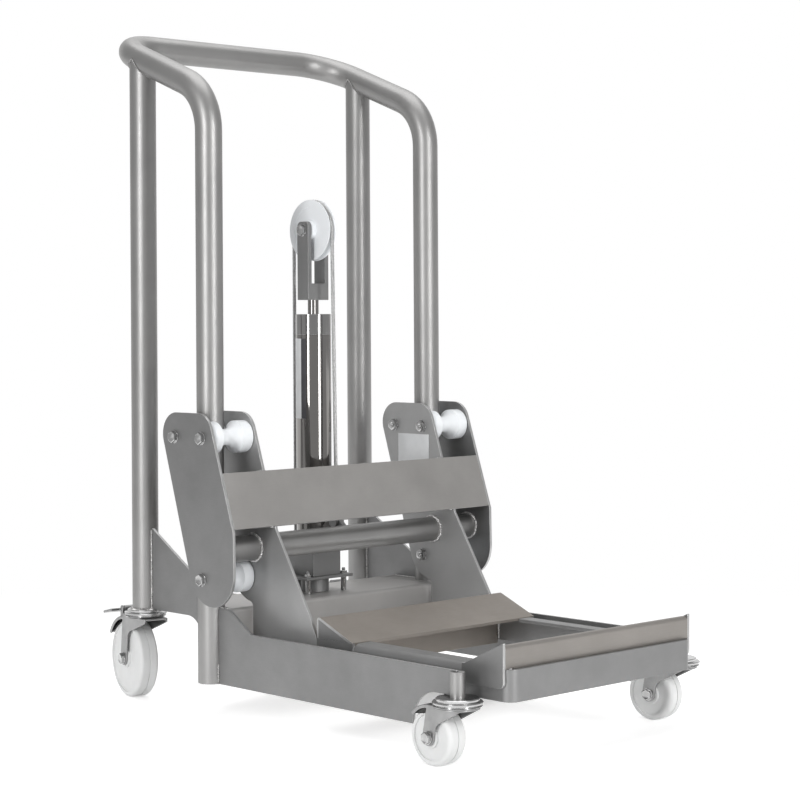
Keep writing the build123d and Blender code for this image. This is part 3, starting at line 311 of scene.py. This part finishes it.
beam_plate_lit = finish("beam_plate_lit", *grey(0.42, 0.475, warm=0.02), metal=0.5, blotch=10, stretch=along_x,
                    **plate_feel)
polished = finish("polished_cylinder", *grey(0.27, 0.31, warm=0.03), metal=1.0, rough=(0.05, 0.09),
                  grain=900, blotch=6, relief=0.002, stretch=along_z)
pressed = finish("pressed_caster_steel", *grey(0.25, 0.38), metal=0.95, rough=(0.28, 0.40),
                 grain=700, blotch=22, relief=0.08)
gland_steel = finish("gland_steel", *grey(0.33, 0.37, warm=0.01), metal=1.0, rough=(0.07, 0.12),
                     grain=900, blotch=8, relief=0.004)
bright = finish("bright_fastener", *grey(0.40, 0.56), metal=1.0, rough=(0.14, 0.24),
                grain=900, blotch=60, relief=0.05)
strand = finish("rope_strand", *grey(0.36, 0.54), metal=1.0, rough=(0.28, 0.40),
                grain=1800, blotch=300, relief=0.15)
seam = finish("weld_seam", *grey(0.38, 0.72, warm=0.01), metal=1.0, rough=(0.18, 0.42),
              grain=900, blotch=180, relief=0.40)
# Edge finish: lighter than the plates, partly the bare cut steel and partly a painted highlight along the
# edges.
edge_tone_and_highlight = finish("laser_edge_and_painted_highlight", *grey(0.44, 0.54), metal=0.9, rough=(0.34, 0.46),
                  grain=1200, blotch=60, relief=0.15)
nylon = finish("white_nylon", (0.75, 0.755, 0.75), (0.81, 0.815, 0.815), metal=0.0, rough=(0.40, 0.52),
               grain=600, blotch=25, relief=0.05)
pulley_nylon = finish("pulley_nylon", (0.80, 0.82, 0.84), (0.84, 0.86, 0.88), metal=0.0, rough=(0.36, 0.46),
                      grain=600, blotch=20, relief=0.04)
blank = finish("blank_label", (0.62, 0.63, 0.64), (0.70, 0.71, 0.72), **label_feel)
blank_band = finish("blank_label_band", (0.03, 0.03, 0.035), (0.05, 0.05, 0.055), **label_feel)

slot_finish = {
    "satin_steel": satin_plate,
    "polished_steel": polished,
    "white_nylon": nylon,
    "wire_rope": strand,
    "pressed_steel": pressed,
    "bright_fasteners": bright,
}
node_finish = {
    "mast_loop": satin_tube,
    "rear_posts": satin_tube,
    "cross_tube": satin_tube,
    "front_stems": satin_tube,
    "cross_plate": front_lit_plate,
    "cradle_ramp": ramp_plate,
    "cradle_wedge": wedge_plate,
    "cross_beam": beam_plate_lit,
    "arm_plate_left": arm_plate,
    "arm_plate_right": arm_plate,
    "pulley": pulley_nylon,
    "gland_nut": gland_steel,
}
for hand in sides:
    for spot in roller_spots:
        node_finish[f"roller_{hand}_{spot}"] = pulley_nylon


def look_of(node):
    return node_finish.get(node, slot_finish[slot_of_node[node]])


for name, node in nodes.items():
    node.data.materials.clear()
    node.data.materials.append(look_of(name))


# Plates and blocks with their edges eased, as deburred work has them
plate_ease = 0.0006
sheet_ease = 0.0004
block_ease = 0.0008
fork_ease = 0.0010
flat_angle = radians(0.5)
sharp_angle = radians(40)
edge_cosine = 0.75
end_cosine = 0.6


def ease(node, width):
    """A copy of a CAD node with its sharp edges rounded, in place of that node."""
    pick(nodes[node])
    bpy.ops.object.duplicate()
    piece = bpy.context.object
    bpy.ops.object.parent_clear(type="CLEAR")
    del piece["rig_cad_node"]
    del piece["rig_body"]
    edit(piece, "SELECT")
    bpy.ops.mesh.remove_doubles(threshold=merge_gap)
    bpy.ops.mesh.dissolve_limited(angle_limit=flat_angle)
    deselect()
    apply(piece, "BEVEL", width=width, segments=2, limit_method="ANGLE", angle_limit=sharp_angle,
          use_clamp_overlap=False, miter_outer="MITER_ARC")
    return stand_in(piece, f"eased_{node}", node, look_of(node), flat=True)


def broad_normal(piece):
    return max(piece.data.polygons, key=lambda face: face.area).normal.copy()


# The edge faces of plates and sheets get the lighter edge finish: partly bare cut steel, partly a painted
# highlight.
for name in ("outer_plate_left", "outer_plate_right", "arm_plate_left", "arm_plate_right", "gusset_plates",
             "side_leg_left", "side_leg_right", "cradle_cheeks", "cross_plate"):
    plate = ease(name, plate_ease)
    facing = broad_normal(plate)
    repaint(plate, edge_tone_and_highlight, lambda middle, normal, facing=facing: abs(normal.dot(facing)) < edge_cosine)
for name in ("cradle_ramp", "cradle_wedge"):
    plate = ease(name, sheet_ease)
    repaint(plate, edge_tone_and_highlight, lambda middle, normal: abs(normal.x) > end_cosine)
for name in ("cradle_band", "cross_beam", "foot_plate", "valve_block", "cylinder_tube", "gland_nut", "clevis",
             "pump_body", "pump_pedal", "release_lever", "brake_pedal_rear_left", "brake_pedal_rear_right"):
    ease(name, block_ease)
for place in caster_places:
    ease(f"caster_fork_{place}", fork_ease)

# Shares and sizes of hexagons, threads and washers
top_cosine = 0.9
hex_chamfer = 0.07
hex_crown = 0.12
hex_rim = 0.16
head_dish = 0.0006
thread_root = 0.86
thread_tip = 0.7
thread_share = 0.8
tip_rise = 0.0006
washer_share = 0.62
washer_t = 0.0016
washer_chamfer = 0.0003


def turned(profile, steps=32, angle=2 * pi):
    """A piece turned about Z from a profile of (radius, height) points, extruded from a single point."""
    deselect()
    bpy.ops.mesh.primitive_plane_add(size=0.002)
    piece = bpy.context.object
    bpy.ops.object.mode_set(mode="EDIT")
    bpy.ops.mesh.select_mode(type="VERT")
    bpy.ops.mesh.select_all(action="SELECT")
    bpy.ops.mesh.merge(type="CENTER")
    before = (0, 0)
    for number, point in enumerate(profile):
        move = (point[0] - before[0], 0, point[1] - before[1])
        if number:
            bpy.ops.mesh.extrude_region_move(TRANSFORM_OT_translate={"value": move})
        else:
            bpy.ops.transform.translate(value=move)
        before = point
    bpy.ops.mesh.select_all(action="SELECT")
    bpy.ops.mesh.spin(steps=steps, angle=angle, center=(0, 0, 0), axis=(0, 0, 1))
    outward(piece)
    return piece


def hexagon(across, height, dish=0.0):
    """A hexagon standing on the origin with its top corners chamfered."""
    deselect()
    bpy.ops.mesh.primitive_cylinder_add(vertices=6, radius=across / sqrt(3), depth=height,
                                        location=(0, 0, height / 2))
    piece = bpy.context.object
    settle(piece)
    edit(piece)
    choose(piece, "FACE", lambda middle, normal: normal.z > top_cosine)
    bpy.ops.mesh.inset(thickness=across * hex_chamfer)
    bpy.ops.transform.translate(value=(0, 0, height * hex_crown))
    bpy.ops.mesh.inset(thickness=across * hex_rim)
    bpy.ops.transform.translate(value=(0, 0, -dish))
    deselect()
    return piece


def thread(radius, length, pitch=0.0015):
    """A threaded end standing on the origin, with a chamfered tip."""
    root = radius * thread_root
    turns = int(length / pitch)
    tip_z = turns * pitch + tip_rise
    profile = [(0, 0), (root, 0)]
    for number in range(turns):
        profile += [(radius, (number + 0.5) * pitch), (root, (number + 1) * pitch)]
    profile += [(radius * thread_tip, tip_z), (0, tip_z)]
    return turned(profile, steps=20)


def sleeve(radius, bore, length, chamfer, steps):
    """A ring standing on the origin, chamfered round the outside of both ends."""
    return turned([(bore, 0), (radius - chamfer, 0), (radius, chamfer), (radius, length - chamfer),
                   (radius - chamfer, length), (bore, length), (bore, 0)], steps)


def washer(across, bore):
    return sleeve(across * washer_share, bore, washer_t, washer_chamfer, steps=32)


def through_bolt(span, bolt_r, across, head_h, tail):
    """A hexagon bolt along Z through a span from the origin, its head below and its nut above."""
    turn_down = Matrix.Rotation(pi, 4, "X")
    return join([
        set_at(hexagon(across, head_h, head_dish), turn_down @ up(washer_t)),
        set_at(washer(across, bolt_r), turn_down),
        turned([(0, 0), (bolt_r, 0), (bolt_r, span), (0, span)], steps=24),
        set_at(washer(across, bolt_r), up(span)),
        set_at(hexagon(across, head_h), up(span + washer_t)),
        set_at(thread(bolt_r * thread_share, tail), up(span + washer_t + head_h)),
    ])


# Roller bolts: heads on the outer plates, nuts on the inner ones
outer_face = abs(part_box("outer_plate_left")[0].x)
inner_face = abs(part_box("arm_plate_left")[1].x)
roller_bolt = through_bolt(outer_face - inner_face, bolt_r=0.0049, across=0.0165, head_h=0.0048, tail=0.003)
places = []
for hand, sign in sides.items():
    for spot in roller_spots:
        middle = pivot[f"roller_spin_{hand}_{spot}"]
        places.append(standing((sign * outer_face, middle.y, middle.z), (-sign, 0, 0)))
stand_in(copies(roller_bolt, places), "roller_bolt_set", "roller_bolts", bright, bolt_smooth)

# Axle bolts and the pulley pin, with room at each end for the head and the nut
axle_room = 0.006
pin_room = 0.005


def reach_along(node, axis, origin):
    """The nearest and farthest reach of a node along an axis."""
    shadow = [(vertex.co - origin).dot(axis) for vertex in nodes[node].data.vertices]
    return min(shadow), max(shadow)


for place in caster_places:
    node = f"caster_axle_{place}"
    axis = turn_axis[f"wheel_spin_{place}"].normalized()
    middle = pivot[f"wheel_spin_{place}"]
    first, last = reach_along(node, axis, middle)
    span = last - first - 2 * axle_room
    bolt = through_bolt(span, bolt_r=0.0049, across=0.0150, head_h=0.0042, tail=0.0024)
    bolt.matrix_world = standing(middle + axis * (first + axle_room), axis)
    stand_in(bolt, f"axle_bolt_{place}", node, bright, bolt_smooth)

low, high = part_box("pulley_pin")
span = high.x - low.x - 2 * pin_room
pin = through_bolt(span, bolt_r=0.0059, across=0.0165, head_h=0.0040, tail=0.0012)
pin.matrix_world = standing((low.x + pin_room, (low.y + high.y) / 2, (low.z + high.z) / 2), (1, 0, 0))
stand_in(pin, "pulley_bolt", "pulley_pin", bright, bolt_smooth)

# Caster heads: a pressed top ring over a grooved race, given as steps in from the rim and down from the top
race_h = 0.012
race_r = {"front": 0.0355, "rear": 0.034}
ring_share = 0.86
ring_steps = ((0.0016, 0), (0, 0.0012), (0, 0.0032), (-0.0012, 0.0042))
race_steps = ((0.0012, 0.0046), (0, 0.0058), (0, 0.0078), (0.0012, 0.0088), (0.0040, 0.0090),
              (0.0040, 0.0102), (0.0016, 0.0104), (0.0010, 0.0110), (0.0014, race_h - 0.0003),
              (0.0050, race_h))


def race_head(radius):
    ring_r = radius * ring_share
    profile = [(0, race_h)]
    profile += [(ring_r - inward, race_h - down) for inward, down in ring_steps]
    profile += [(radius - inward, race_h - down) for inward, down in race_steps]
    return turned(profile + [(0, 0)], steps=56)


heads_low, heads_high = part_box("caster_heads")
race_foot = {"front": heads_low.z, "rear": heads_high.z - race_h}
head_set = []
for end in ("front", "rear"):
    spots = [pivot[f"caster_swivel_{end}_{hand}"] for hand in sides]
    places = [Matrix.Translation((spot.x, spot.y, race_foot[end])) for spot in spots]
    head_set.append(copies(race_head(race_r[end]), places))
stand_in(join(head_set), "caster_race_heads", "caster_heads", bright, race_smooth)

# Foot studs and spacers
spacer_r = 0.0045
spacer_chamfer = 0.0005
stud_r = 0.0029
stud_pitch = 0.0012
stud_tip = 0.0022
stud_sink = 0.003
stud_nut = {"across": 0.010, "height": 0.0042}
stud_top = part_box("foot_studs")[1].z
plate_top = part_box("foot_plate")[1].z
spacer_low, spacer_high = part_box("foot_spacers")
spacer_mid = (spacer_low + spacer_high) / 2
spacer_half = (spacer_high - spacer_low) / 2 - Vector((spacer_r, spacer_r, 0))
spacer = sleeve(spacer_r, stud_r, spacer_high.z - spacer_low.z, spacer_chamfer, steps=28)
nut_foot = plate_top - spacer_low.z
stud = join([
    set_at(hexagon(**stud_nut), up(nut_foot)),
    set_at(thread(stud_r, stud_top - plate_top - stud_tip, stud_pitch), up(nut_foot + stud_sink)),
])
corners = []
for i in (-1, 1):
    for j in (-1, 1):
        corner = (spacer_mid.x + i * spacer_half.x, spacer_mid.y + j * spacer_half.y, spacer_low.z)
        corners.append(Matrix.Translation(corner))
stand_in(copies(spacer, corners), "foot_sleeves", "foot_spacers", bright)
stand_in(copies(stud, corners), "foot_stud_set", "foot_studs", bright, bolt_smooth)

# Weld seams: the shape of a drop, and the widths of the beads
drop_shape = (0.6, 1.0, 0.85)
drop_step = 0.36
ring_points = 48
saddle_bead = 0.0030
foot_bead = 0.0050
gusset_rear_bead = 0.0042
gusset_front_bead = 0.0036
leg_bead = 0.0036
beam_bead = 0.0040
arm_bead = 0.0066
tube_end_bead = 0.0060
cross_plate_bead = 0.0050
ramp_bead = 0.0060
saddle_share = 1.03
seam_gap = 0.0006
arm_gap = 0.0010


def route(points, closed):
    curve = bpy.data.curves.new("route", "CURVE")
    curve.dimensions = "3D"
    line = curve.splines.new("POLY")
    line.points.add(len(points) - 1)
    for point, place in zip(line.points, points):
        point.co = (*place, 1)
    line.use_cyclic_u = closed
    guide = bpy.data.objects.new("route", curve)
    bpy.context.scene.collection.objects.link(guide)
    return guide


def bead(points, width, closed=False):
    """Overlapping weld drops along a line."""
    deselect()
    bpy.ops.mesh.primitive_uv_sphere_add(segments=8, ring_count=6, radius=width / 2)
    drop = bpy.context.object
    bpy.ops.object.mode_set(mode="EDIT")
    bpy.ops.transform.resize(value=drop_shape)
    deselect()
    guide = route(points, closed)
    apply(drop, "ARRAY", fit_type="FIT_CURVE", curve=guide, use_relative_offset=False,
          use_constant_offset=True, constant_offset_displace=(width * drop_step, 0, 0))
    apply(drop, "CURVE", object=guide, deform_axis="POS_X")
    bpy.data.objects.remove(guide)
    return drop


def straight(start, end, width):
    return bead([Vector(start), (Vector(start) + Vector(end)) / 2, Vector(end)], width)


def upright(x, y, low, high, width):
    return straight((x, y, low), (x, y, high), width)


def circle():
    """The cosine and sine of each step round a circle."""
    turns = [2 * pi * step / ring_points for step in range(ring_points)]
    return [(cos(turn), sin(turn)) for turn in turns]


def post_ring(x, y, z, radius, width):
    """A bead round an upright tube."""
    return bead([Vector((x + radius * c, y + radius * s, z)) for c, s in circle()], width, True)


def tube_ring(x, radius, width):
    """A bead round the cross tube."""
    points = [Vector((x, tube_mid.y + radius * c, tube_mid.z + radius * s)) for c, s in circle()]
    return bead(points, width, True)


def saddle_ring(x):
    """A bead where a rear post meets the sloping arm of the mast."""
    points = []
    for c, s in circle():
        y = tube_r * s
        z = knee_z + (rear_step + y) * tan(arm_rise) - abs(y) / cos(arm_rise)
        points.append(Vector((x + saddle_share * tube_r * c, rear_y + saddle_share * y, z)))
    return bead(points, saddle_bead, True)


def heights(node, near_y, reach=0.004):
    """Lowest and highest points of a node close to a place along Y."""
    found = [vertex.co.z for vertex in nodes[node].data.vertices if abs(vertex.co.y - near_y) < reach]
    return min(found), max(found)


# Seams of the chassis: post heads and feet, gussets, legs and beam
half_cut = sqrt(tube_r**2 - leg_half**2)
gusset_rear_y = rear_y - half_cut
gusset_front_y = mast_y + half_cut
leg_y = mast_y - half_cut
rear_low, rear_high = heights("gusset_plates", gusset_rear_y)
front_low, front_high = heights("gusset_plates", gusset_front_y)
leg_low = heights("side_leg_left", leg_y)[0]
beam_low, beam_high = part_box("cross_beam")
gusset_rear_ends = (rear_low + 0.003, rear_high - 0.002)
gusset_front_ends = (front_low + 0.003, front_high - 0.003)
leg_ends = (leg_low + 0.004, leg_low + 0.030)
beam_ends = (beam_low.y + 0.008, beam_high.y - 0.004)
beam_z = beam_high.z - 0.0004
foot_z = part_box("rear_posts")[0].z + 0.0005
foot_r = tube_r + 0.0008
saddle_seams = []
chassis_seams = []
for sign in sides.values():
    x = sign * post_x
    saddle_seams.append(saddle_ring(x))
    chassis_seams.append(post_ring(x, rear_y, foot_z, foot_r, foot_bead))
    for face in (-1, 1):
        seam_x = x + face * (leg_half + seam_gap)
        chassis_seams += [
            upright(seam_x, gusset_rear_y, *gusset_rear_ends, gusset_rear_bead),
            upright(seam_x, gusset_front_y, *gusset_front_ends, gusset_front_bead),
            upright(seam_x, leg_y, *leg_ends, leg_bead),
        ]
    x = sign * (post_x - leg_half - seam_gap)
    chassis_seams.append(straight((x, beam_ends[0], beam_z), (x, beam_ends[1], beam_z), beam_bead))

# Seams of the carriage: cross tube, cross plate and ramp
tube_low, tube_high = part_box("cross_tube")
tube_mid = (tube_low + tube_high) / 2
tube_seam_r = (tube_high.z - tube_low.z) / 2 + seam_gap
tube_end_x = {"left": tube_low.x + 0.0008, "right": tube_high.x - 0.0008}
cross_low, cross_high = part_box("cross_plate")
band_low, band_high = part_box("cradle_band")
cross_top_run = ((cross_high.y - 0.001, cross_high.z - 0.001), (cross_high.y + 0.012, cross_high.z - 0.004))
cross_low_run = ((cross_low.y + 0.004, cross_low.z), (cross_low.y + 0.016, cross_low.z + 0.002))
ramp_x = band_high.x - sheet_t - 0.0005
ramp_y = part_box("cradle_ramp")[1].y - 0.0058
ramp_ends = (band_low.z + 0.004, band_low.z + 0.042)
carriage_seams = []
for hand, sign in sides.items():
    low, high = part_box(f"arm_plate_{hand}")
    arm_faces = (low.x - arm_gap, high.x + arm_gap)
    for x in arm_faces:
        carriage_seams.append(tube_ring(x, tube_seam_r, arm_bead))
    carriage_seams.append(tube_ring(tube_end_x[hand], tube_seam_r, tube_end_bead))
    for x in arm_faces:
        for start, end in (cross_top_run, cross_low_run):
            carriage_seams.append(straight((x, *start), (x, *end), cross_plate_bead))
    carriage_seams.append(upright(sign * ramp_x, ramp_y, *ramp_ends, ramp_bead))

hand_over(join(saddle_seams), "post_saddle_seams", "chassis", satin_tube, smooth=weld_smooth)
hand_over(join(chassis_seams), "chassis_weld_seams", "chassis", seam, smooth=weld_smooth)
hand_over(join(carriage_seams), "carriage_weld_seams", "carriage", seam, smooth=weld_smooth)

# Wire rope of six strands: its radius, its lay, and how deep the outline goes in at and beside a valley
rope_r = 0.003
rope_lay = 0.034
strand_turn = pi / 3
valley_share = 0.74
flank_share = 0.9
valley_spread = 0.05
flank_spread = 0.2
steps_per_lay = 16


def rope(length):
    """A straight piece of rope standing on the origin."""
    def off_valley(co):
        return abs((atan2(co.y, co.x) + strand_turn / 2) % strand_turn - strand_turn / 2)

    deselect()
    bpy.ops.mesh.primitive_circle_add(vertices=36, radius=rope_r)
    piece = bpy.context.object
    bpy.ops.object.mode_set(mode="EDIT")
    for spread, share in ((valley_spread, valley_share / flank_share), (flank_spread, flank_share)):
        choose(piece, "VERT", lambda co, normal, spread=spread: off_valley(co) < spread)
        bpy.ops.transform.resize(value=(share, share, 1))
    deselect()
    turns = length / rope_lay
    steps = int(turns * steps_per_lay) + 2
    apply(piece, "SCREW", axis="Z", angle=2 * pi * turns, screw_offset=length, steps=steps,
          render_steps=steps, use_merge_vertices=False)
    edit(piece, "SELECT")
    bpy.ops.mesh.fill_holes(sides=0)
    outward(piece)
    return piece


def run_ends(node, reach=0.001):
    """Middles of the two ends of a straight run that rises along Z."""
    low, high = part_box(node)
    ends = []
    for level in (low.z, high.z):
        near = [vertex.co for vertex in nodes[node].data.vertices if abs(vertex.co.z - level) < reach]
        ends.append(sum(near, Vector()) / len(near))
    return ends


rear_foot, rear_top = run_ends("rope_rear_run")
rear_run = rope((rear_top - rear_foot).length)
rear_run.matrix_world = standing(rear_foot, rear_top - rear_foot)
dress(rear_run, "wire_rope_rear_run", strand, rope_smooth)
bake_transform(rear_run)
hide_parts("rope_rear_run")

front_foot, front_top = run_ends("rope_front_run")
front_run = rope((front_top - front_foot).length)
front_run.matrix_world = standing(front_foot, front_top - front_foot)
stand_in(front_run, "wire_rope_front_run", "rope_front_run", strand, rope_smooth)
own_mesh(front_run)

low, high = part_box("rope_wrap")
wrap_r = (high.y - low.y) / 2 - rope_r
wrap = rope(pi * wrap_r)
set_at(wrap, Matrix.Translation((-pi * wrap_r / 2, 0, 0)) @ Matrix.Rotation(pi / 2, 4, "Y"))
apply(wrap, "SIMPLE_DEFORM", deform_method="BEND", deform_axis="Z", angle=pi)
outward(wrap)
set_at(wrap, Matrix.Rotation(pi / 2, 4, "Z") @ Matrix.Rotation(-pi / 2, 4, "X"))
wrap_top = max(vertex.co.z for vertex in wrap.data.vertices)
wrap.location = ((low.x + high.x) / 2, (low.y + high.y) / 2, high.z - wrap_top)
stand_in(wrap, "wire_rope_wrap", "rope_wrap", strand, rope_smooth)

# Blank label round the cylinder, with a dark band along one edge
label_low, label_high = 0.451, 0.581
label_gap = 0.0002
label_t = 0.0003
label_wrap = radians(66)
label_turn = radians(204)
band_turn = radians(6)
low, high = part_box("cylinder_tube")
cylinder_mid = (low + high) / 2
cylinder_r = (high.x - low.x) / 2
label_r = cylinder_r + label_gap
label = turned([(label_r, label_low), (label_r, label_high)], steps=18, angle=label_wrap)
apply(label, "SOLIDIFY", thickness=label_t, offset=0)
label.matrix_world = (Matrix.Translation((cylinder_mid.x, cylinder_mid.y, 0))
                      @ Matrix.Rotation(label_turn, 4, "Z"))
hand_over(label, "blank_cylinder_label", "chassis", blank)
band_edge = cylinder_mid.y - cylinder_r * sin(band_turn)
repaint(label, blank_band, lambda middle, normal: middle.y < band_edge)

# Blank plate on the right arm
rating_y = (mast_y - 0.050, mast_y + 0.024)
rating_z = (0.366, 0.418)
rating_t = 0.0008
rating_ease = 0.0002
rating_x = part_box("arm_plate_right")[0].x - 0.0002
deselect()
bpy.ops.mesh.primitive_cube_add(size=1)
rating = bpy.context.object
bpy.ops.transform.resize(value=(rating_t, rating_y[1] - rating_y[0], rating_z[1] - rating_z[0]))
settle(rating)
apply(rating, "BEVEL", width=rating_ease, segments=2, limit_method="ANGLE", use_clamp_overlap=True)
rating.location = (rating_x, sum(rating_y) / 2, sum(rating_z) / 2)
hand_over(rating, "blank_rating_plate", "carriage", blank)


# Stage, light and camera
def larger(tree, first, second):
    most = add(tree, "Math", operation="MAXIMUM")
    tree.links.new(first, most.inputs[0])
    tree.links.new(second, most.inputs[1])
    return most.outputs[0]


def shown_rays(tree):
    """One where a ray shows a thing to the camera, straight or by a mirror or glass."""
    path = add(tree, "LightPath").outputs
    straight_or_mirror = larger(tree, path["Is Camera Ray"], path["Is Glossy Ray"])
    return larger(tree, straight_or_mirror, path["Is Transmission Ray"])


def paper_white(tree, level):
    """The strength of the paper: white to the camera, and the level given in mirrors and glass."""
    return larger(tree, add(tree, "LightPath").outputs["Is Camera Ray"], level)


def fade(tree, start, end, first=0.0, last=1.0):
    """A soft step from a first level to a last one."""
    return add(tree, "MapRange", {"From Min": start, "From Max": end, "To Min": first, "To Max": last},
               interpolation_type="SMOOTHSTEP")


view_turn = radians(-43.06)
view_way = Vector((-sin(view_turn), cos(view_turn), 0))
side_level = 0.50
room_level = 0.38
lift_level = 0.46
floor_tone = (0.93, 0.93, 0.93, 1)
# Middle of a painted shadow spot on the floor under the machine
painted_shadow_spot = (0.115, 0.025, 0)

# A floor that is lit and keeps the shadow near the object, with a painted shadow spot under the machine where
# its lift is left out, and is plain paper behind it and far off
deselect()
bpy.ops.mesh.primitive_plane_add(size=40)
floor = bpy.context.object
floor.name = "floor"
pale = bpy.data.materials.new("pale_floor")
pale.use_nodes = True
ground = pale.node_tree
matt = ground.nodes["Principled BSDF"]
matt.inputs["Base Color"].default_value = floor_tone
matt.inputs["Roughness"].default_value = 0.9
matt.inputs["Specular IOR Level"].default_value = 0.0
where = add(ground, "TexCoord").outputs["Object"]
apart = add(ground, "VectorMath", operation="LENGTH")
from_painted_shadow = add(ground, "VectorMath", {1: painted_shadow_spot}, operation="DISTANCE")
behind = add(ground, "VectorMath", {1: view_way}, operation="DOT_PRODUCT")
lift_fade = fade(ground, start=0.9, end=2.2, first=lift_level, last=0.0)
painted_shadow_fade = fade(ground, start=0.05, end=0.13)
paper_fade = fade(ground, start=0.3, end=1.4)
far_fade = fade(ground, start=1.2, end=2.6)
outside_painted_shadow = add(ground, "Math", operation="MULTIPLY")
paper_glow = add(ground, "MapRange", {"To Min": side_level, "To Max": 1.0})
lift = add(ground, "Emission")
lifted = add(ground, "AddShader")
paper = add(ground, "Emission")
near_or_far = add(ground, "MixShader")
lit_or_shown = add(ground, "MixShader")
link = ground.links.new
link(where, apart.inputs[0])
link(where, from_painted_shadow.inputs[0])
link(where, behind.inputs[0])
link(apart.outputs["Value"], lift_fade.inputs["Value"])
link(apart.outputs["Value"], far_fade.inputs["Value"])
link(from_painted_shadow.outputs["Value"], painted_shadow_fade.inputs["Value"])
link(behind.outputs["Value"], paper_fade.inputs["Value"])
# The lift is left out round the painted shadow spot, so the floor is darker there: painted shadow.
link(lift_fade.outputs["Result"], outside_painted_shadow.inputs[0])
link(painted_shadow_fade.outputs["Result"], outside_painted_shadow.inputs[1])
link(outside_painted_shadow.outputs["Value"], lift.inputs["Strength"])
link(matt.outputs[0], lifted.inputs[0])
link(lift.outputs[0], lifted.inputs[1])
link(paper_fade.outputs["Result"], paper_glow.inputs["Value"])
link(paper_white(ground, paper_glow.outputs["Result"]), paper.inputs["Strength"])
link(larger(ground, paper_fade.outputs["Result"], far_fade.outputs["Result"]), near_or_far.inputs["Fac"])
link(lifted.outputs[0], near_or_far.inputs[1])
link(paper.outputs[0], near_or_far.inputs[2])
link(shown_rays(ground), lit_or_shown.inputs["Fac"])
link(matt.outputs[0], lit_or_shown.inputs[1])
link(near_or_far.outputs[0], lit_or_shown.inputs[2])
link(lit_or_shown.outputs[0], ground.nodes["Material Output"].inputs["Surface"])
floor.data.materials.append(pale)

# A room that lights softly, with the paper as its backdrop
world = bpy.data.worlds.new("studio")
bpy.context.scene.world = world
world.use_nodes = True
sky = world.node_tree
sky.nodes.clear()
room = add(sky, "Background", {"Color": (1, 1, 1, 1), "Strength": room_level})
backdrop = add(sky, "Background", {"Color": (1, 1, 1, 1)})
facing_paper = add(sky, "VectorMath", {1: view_way}, operation="DOT_PRODUCT")
paper_edge = fade(sky, start=0.5, end=0.85, first=side_level)
choice = add(sky, "MixShader")
link = sky.links.new
link(add(sky, "TexCoord").outputs["Generated"], facing_paper.inputs[0])
link(facing_paper.outputs["Value"], paper_edge.inputs["Value"])
link(paper_white(sky, paper_edge.outputs["Result"]), backdrop.inputs["Strength"])
link(shown_rays(sky), choice.inputs["Fac"])
link(room.outputs[0], choice.inputs[1])
link(backdrop.outputs[0], choice.inputs[2])
link(choice.outputs[0], add(sky, "OutputWorld").inputs[0])


def softbox(name, place, aim, width, height, watts, mirrored=True):
    lamp = bpy.data.lights.new(name, "AREA")
    lamp.shape = "RECTANGLE"
    lamp.size = width
    lamp.size_y = height
    lamp.energy = watts
    holder = bpy.data.objects.new(name, lamp)
    bpy.context.scene.collection.objects.link(holder)
    holder.location = place
    holder.rotation_euler = (Vector(aim) - Vector(place)).to_track_quat("-Z", "Y").to_euler()
    holder.visible_glossy = mirrored


softbox("left_box", place=(-2.8, -0.6, 1.2), aim=(0, 0, 0.5), width=0.45, height=2.2, watts=36)
softbox("front_box", place=(-0.15, -3.2, 1.2), aim=(0, 0, 0.5), width=0.6, height=2.2, watts=45)
softbox("right_fill", place=(2.4, -2.4, 0.9), aim=(0, 0, 0.4), width=1.8, height=1.8, watts=20,
        mirrored=False)
softbox("top_box", place=(0.3, 0.4, 3.2), aim=(0, 0, 0), width=2.6, height=2.6, watts=36)
softbox("rear_fill", place=(0.6, 3.0, 1.2), aim=(0, 0, 0.5), width=1.6, height=1.6, watts=26,
        mirrored=False)

eye = Vector((-2.2166, mast_y - 2.5559, 0.6217))
view_roll = radians(-0.34)
lens = bpy.data.cameras.new("photo_view")
lens.sensor_width = 36
lens.lens = 93.3
lens.shift_y = -0.1086
lens.clip_end = 60
camera = bpy.data.objects.new("photo_view", lens)
bpy.context.scene.collection.objects.link(camera)
camera.matrix_world = (Matrix.Translation(eye) @ Matrix.Rotation(view_turn, 4, "Z")
                       @ Matrix.Rotation(radians(90), 4, "X") @ Matrix.Rotation(view_roll, 4, "Z"))
bpy.context.scene.camera = camera
bpy.context.scene.view_settings.view_transform = "Standard"
